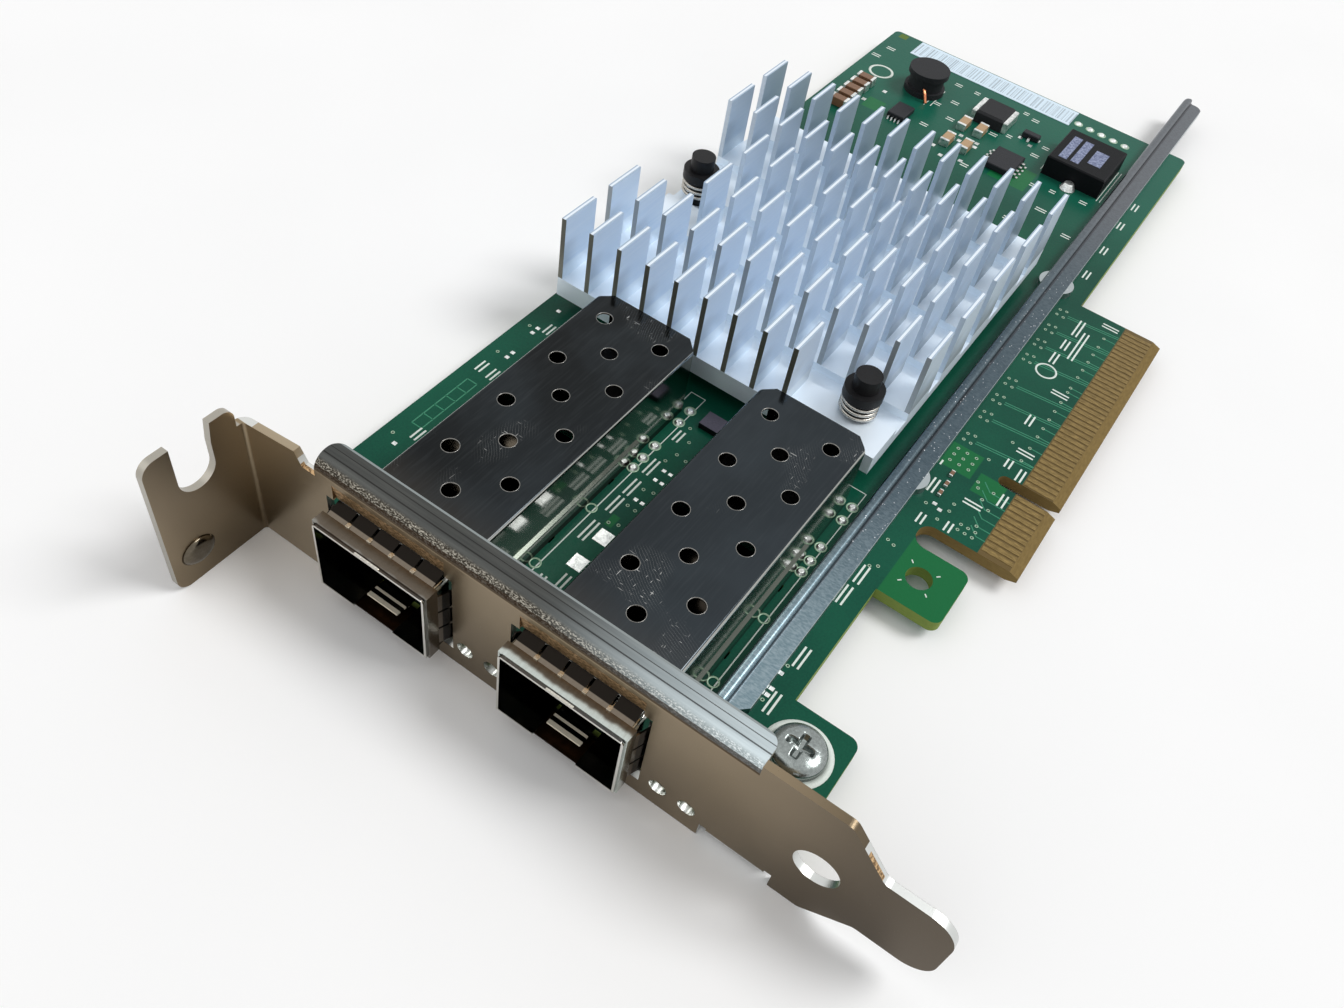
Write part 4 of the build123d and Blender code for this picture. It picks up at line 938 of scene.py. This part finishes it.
def leaded(name, node, axis, half_body):
    """The finish of a chip whose leads stand out along one axis, past half the body's size."""
    finish = Finish(name, gloss=0.2)
    low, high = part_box(node)
    centre = (low[axis] + high[axis]) / 2 / MM
    leads = abs((finish.x, finish.y)[axis] - centre) > half_body
    moulded = finish.noise(10.0, 3.0)
    body = finish.mix(moulded, "#15161a", "#2c2e33")
    finish.wear(colour=finish.mix(leads, body, "#c9cbc8"), metallic=leads,
                roughness=0.42 + moulded * 0.15 - leads * 0.2, height=moulded, depth=0.02)
    give(node, finish)


leaded("memory_resin", "memory_chip", 0, 2.21)
leaded("regulator_resin", "regulator_chip", 1, 2.41)
leaded("transistor_resin", "small_transistor", 0, 0.66)


# Inductors: dark grey pressed ferrite, wound with copper wire. The round one's lead ends reach down to the
# board, and the square one stands on two tinned terminals.
TERMINAL_X = (73.1, 78.4)
TERMINAL_SIDES = ((39.5, 40.35), (45.25, 46.1))
TERMINAL_TOP = 2.6
ferrite = two_tone("pressed_ferrite", "#141517", "#2d2e31", (5.0, 4.0), (0.5, 0.2), 0.04, gloss=0.2)
for node in ("drum_inductor", "shielded_inductor"):
    give(node, ferrite)
copper_wire = two_tone("copper_wire", "#a4583a", "#e09a72", (3.0, 2.0), (0.2, 0.2), 0.02, metallic=1.0)
lead_paths = [[(72.2, 55.0, 2.6), (71.7, 54.4, 2.0), (71.5, 54.0, 1.2), (71.3, 53.7, 0.86)],
              [(78.4, 57.2, 2.6), (78.9, 57.6, 2.0), (79.2, 57.9, 1.2), (79.3, 58.0, 0.86)]]
cook(ribbon("drum_lead", copper_wire), sketch("drum_leads", *chain(lead_paths)),
     bevel=0.05, Width=0.45, Height=0.35)
terminals = [(TERMINAL_X[0], low_y, TERMINAL_X[1], high_y, BOARD_TOP, TERMINAL_TOP)
             for low_y, high_y in TERMINAL_SIDES]
plates("shielded_terminals", tin, terminals, bevel=0.1)


# Chip capacitors: fired ceramic blocks, tan or brown, whose tinned ends are soldered flat on the board. The
# ends and the core between them are sized as shares of the whole part.
END_LENGTH = 0.16
CORE_LENGTH = 0.72
CORE_THICKNESS = 0.95
tan = two_tone("tan_ceramic", "#a3835f", "#c2a27c", (4.0, 3.0), (0.35, 0.2), 0.02)
brown = two_tone("brown_ceramic", "#5b3d2a", "#8a6547", (4.0, 3.0), (0.35, 0.2), 0.02)


def chip_part(name, body, length, width, height, turn=0):
    """A recipe for chip parts: a ceramic block between two tinned ends, turned by so many degrees."""
    recipe = Recipe(name, Length=length, Width=width, Height=height)
    given = recipe.given
    core_size = recipe.node("ShaderNodeCombineXYZ", {}, {
        "X": recipe.scaled(given["Length"], CORE_LENGTH), "Y": recipe.scaled(given["Width"], CORE_THICKNESS),
        "Z": recipe.scaled(given["Height"], CORE_THICKNESS)})
    end_size = recipe.node("ShaderNodeCombineXYZ", {}, {
        "X": recipe.scaled(given["Length"], END_LENGTH), "Y": given["Width"], "Z": given["Height"]})
    half = recipe.scaled(given["Height"], 0.5)
    core = recipe.shift(recipe.node("GeometryNodeMeshCube", {}, {"Size": core_size}), z=half)
    blocks = [recipe.coat(core, body)]
    for side in (END_LENGTH / 2 - 0.5, 0.5 - END_LENGTH / 2):
        end = recipe.node("GeometryNodeMeshCube", {}, {"Size": end_size})
        blocks.append(recipe.coat(recipe.shift(end, x=recipe.scaled(given["Length"], side), z=half), tin))
    joined = recipe.tree.nodes.new("GeometryNodeJoinGeometry")
    for block in blocks:
        recipe.tree.links.new(block, joined.inputs[0])
    recipe.close(recipe.on_points(joined.outputs[0], math.radians(turn)))
    return recipe


tan_places = ((69.8, 45.7), (70.0, 42.7), (63.3, 45.8), (63.6, 42.6))
tan_chips = sketch("tan_chips", [(x, y, BOARD_TOP) for x, y in tan_places])
cook(chip_part("tan_chip", tan, 3.2, 1.6, 1.3), tan_chips, bevel=0.09)
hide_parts("tan_capacitors")
small_places = ((-3.6, 13.1), (-5.6, 12.9), (-7.4, 12.9))
small_chips = sketch("small_chips", [(x, y, BOARD_TOP) for x, y in small_places])
cook(chip_part("small_chip", brown, 1.0, 0.5, 0.45), small_chips, bevel=0.05)
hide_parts("small_capacitors")
brown_chips = sketch("brown_chips", [(59.4 + 2.4 * i, 64.4, BOARD_TOP) for i in range(5)])
cook(chip_part("brown_chip", brown, 3.2, 1.6, 1.5, turn=90), brown_chips, bevel=0.09)
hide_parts("brown_capacitors")


# Crystal: a dark ceramic base with a tarnished metal lid, soldered between the cages. The quartz inside
# keeps the controller's time.
can = Finish("crystal_can", metallic=0.4, gloss=0.25)
brushed = can.noise(3.0, 3.0, (5, 1, 1))
can_top = can.mix(brushed, "#3f3c45", "#625e6b")
can.wear(colour=can.mix(can.z > 1.6, "#16161a", can_top), roughness=0.25 + brushed * 0.2,
         height=brushed, depth=0.01)
give("crystal", can)


# Data label: white coated paper, printed with plain dark bars of uneven width and stuck to the mask along
# the card's far end.
paper = Finish("label_paper", gloss=0.25)
bars = paper.noise(1.4, 2.0, (0, 2.2, 0)).rise(0.5, 0.53) * paper.inside(paper.x, 85.3, 89.3, 0.05) * 0.4
fibre = paper.noise(6.0, 3.0)
paper.wear(colour=paper.mix(bars, paper.mix(fibre, "#d2e8f8", "#e6f4fd"), "#454e54"),
           roughness=0.5 + fibre * 0.15, height=fibre, depth=0.02)
give("data_label", paper)


# Table: a plain pale sheet that keeps the card's shadow, under an even white surround and two soft suns.
# The surround is half as bright where only matt surfaces gather its light.
TABLE_HALF = 1.5
TABLE_GAP = 0.05
table_mesh = bpy.data.meshes.new("table")
low = cad_box[0][2] - TABLE_GAP * MM
corners = [(sx * TABLE_HALF, sy * TABLE_HALF, low) for sx, sy in ((-1, -1), (1, -1), (1, 1), (-1, 1))]
table_mesh.from_pydata(corners, [], [(0, 1, 2, 3)])
table = bpy.data.objects.new("table", table_mesh)
bpy.context.scene.collection.objects.link(table)
sheet = Finish("table_sheet")
weave = sheet.noise(0.02, 2.0)
sheet.wear(colour=sheet.mix(weave, "#f8f8f8", "#ffffff"), roughness=0.85 + weave * 0.1)
table_mesh.materials.append(sheet.material)

world = bpy.data.worlds.new("surround")
bpy.context.scene.world = world
world.use_nodes = True
sky = Shading(world.node_tree)
camera_ray = sky.node("LightPath", output="Is Camera Ray")
rays = camera_ray.socket.node.outputs
seen = camera_ray | Value(sky, rays["Is Glossy Ray"]) | Value(sky, rays["Is Transmission Ray"])
background = sky.tree.nodes["Background"]
sky.feed(background.inputs["Color"], "#ffffff")
sky.feed(background.inputs["Strength"], seen * 0.5 + 0.5)


def lamp(name, strength, angle, pitch, turn):
    """A soft sun, tipped by pitch from overhead and turned about the vertical."""
    light = bpy.data.lights.new(name, "SUN")
    light.energy = strength
    light.angle = math.radians(angle)
    holder = bpy.data.objects.new(name, light)
    holder.rotation_euler = (math.radians(pitch), 0, math.radians(turn))
    bpy.context.scene.collection.objects.link(holder)


lamp("window", 1.6, 25, 38, 35)
lamp("fill", 0.35, 60, 40, -120)


# Camera: as in the photograph, above the bracket's end of the card and close to it. Its place and lens were
# solved from the standard sizes of such cards.
lens_data = bpy.data.cameras.new("camera")
lens_data.lens = 30.285
lens_data.sensor_width = 36.0
lens_data.clip_start = 0.01
camera = bpy.data.objects.new("camera", lens_data)
camera.location = (-0.105209, 0.001251, 0.099691)
camera.rotation_euler = [math.radians(a) for a in (39.3826, -7.7781, -55.3969)]
bpy.context.scene.collection.objects.link(camera)
bpy.context.scene.camera = camera
bpy.context.scene.view_settings.view_transform = "Standard"
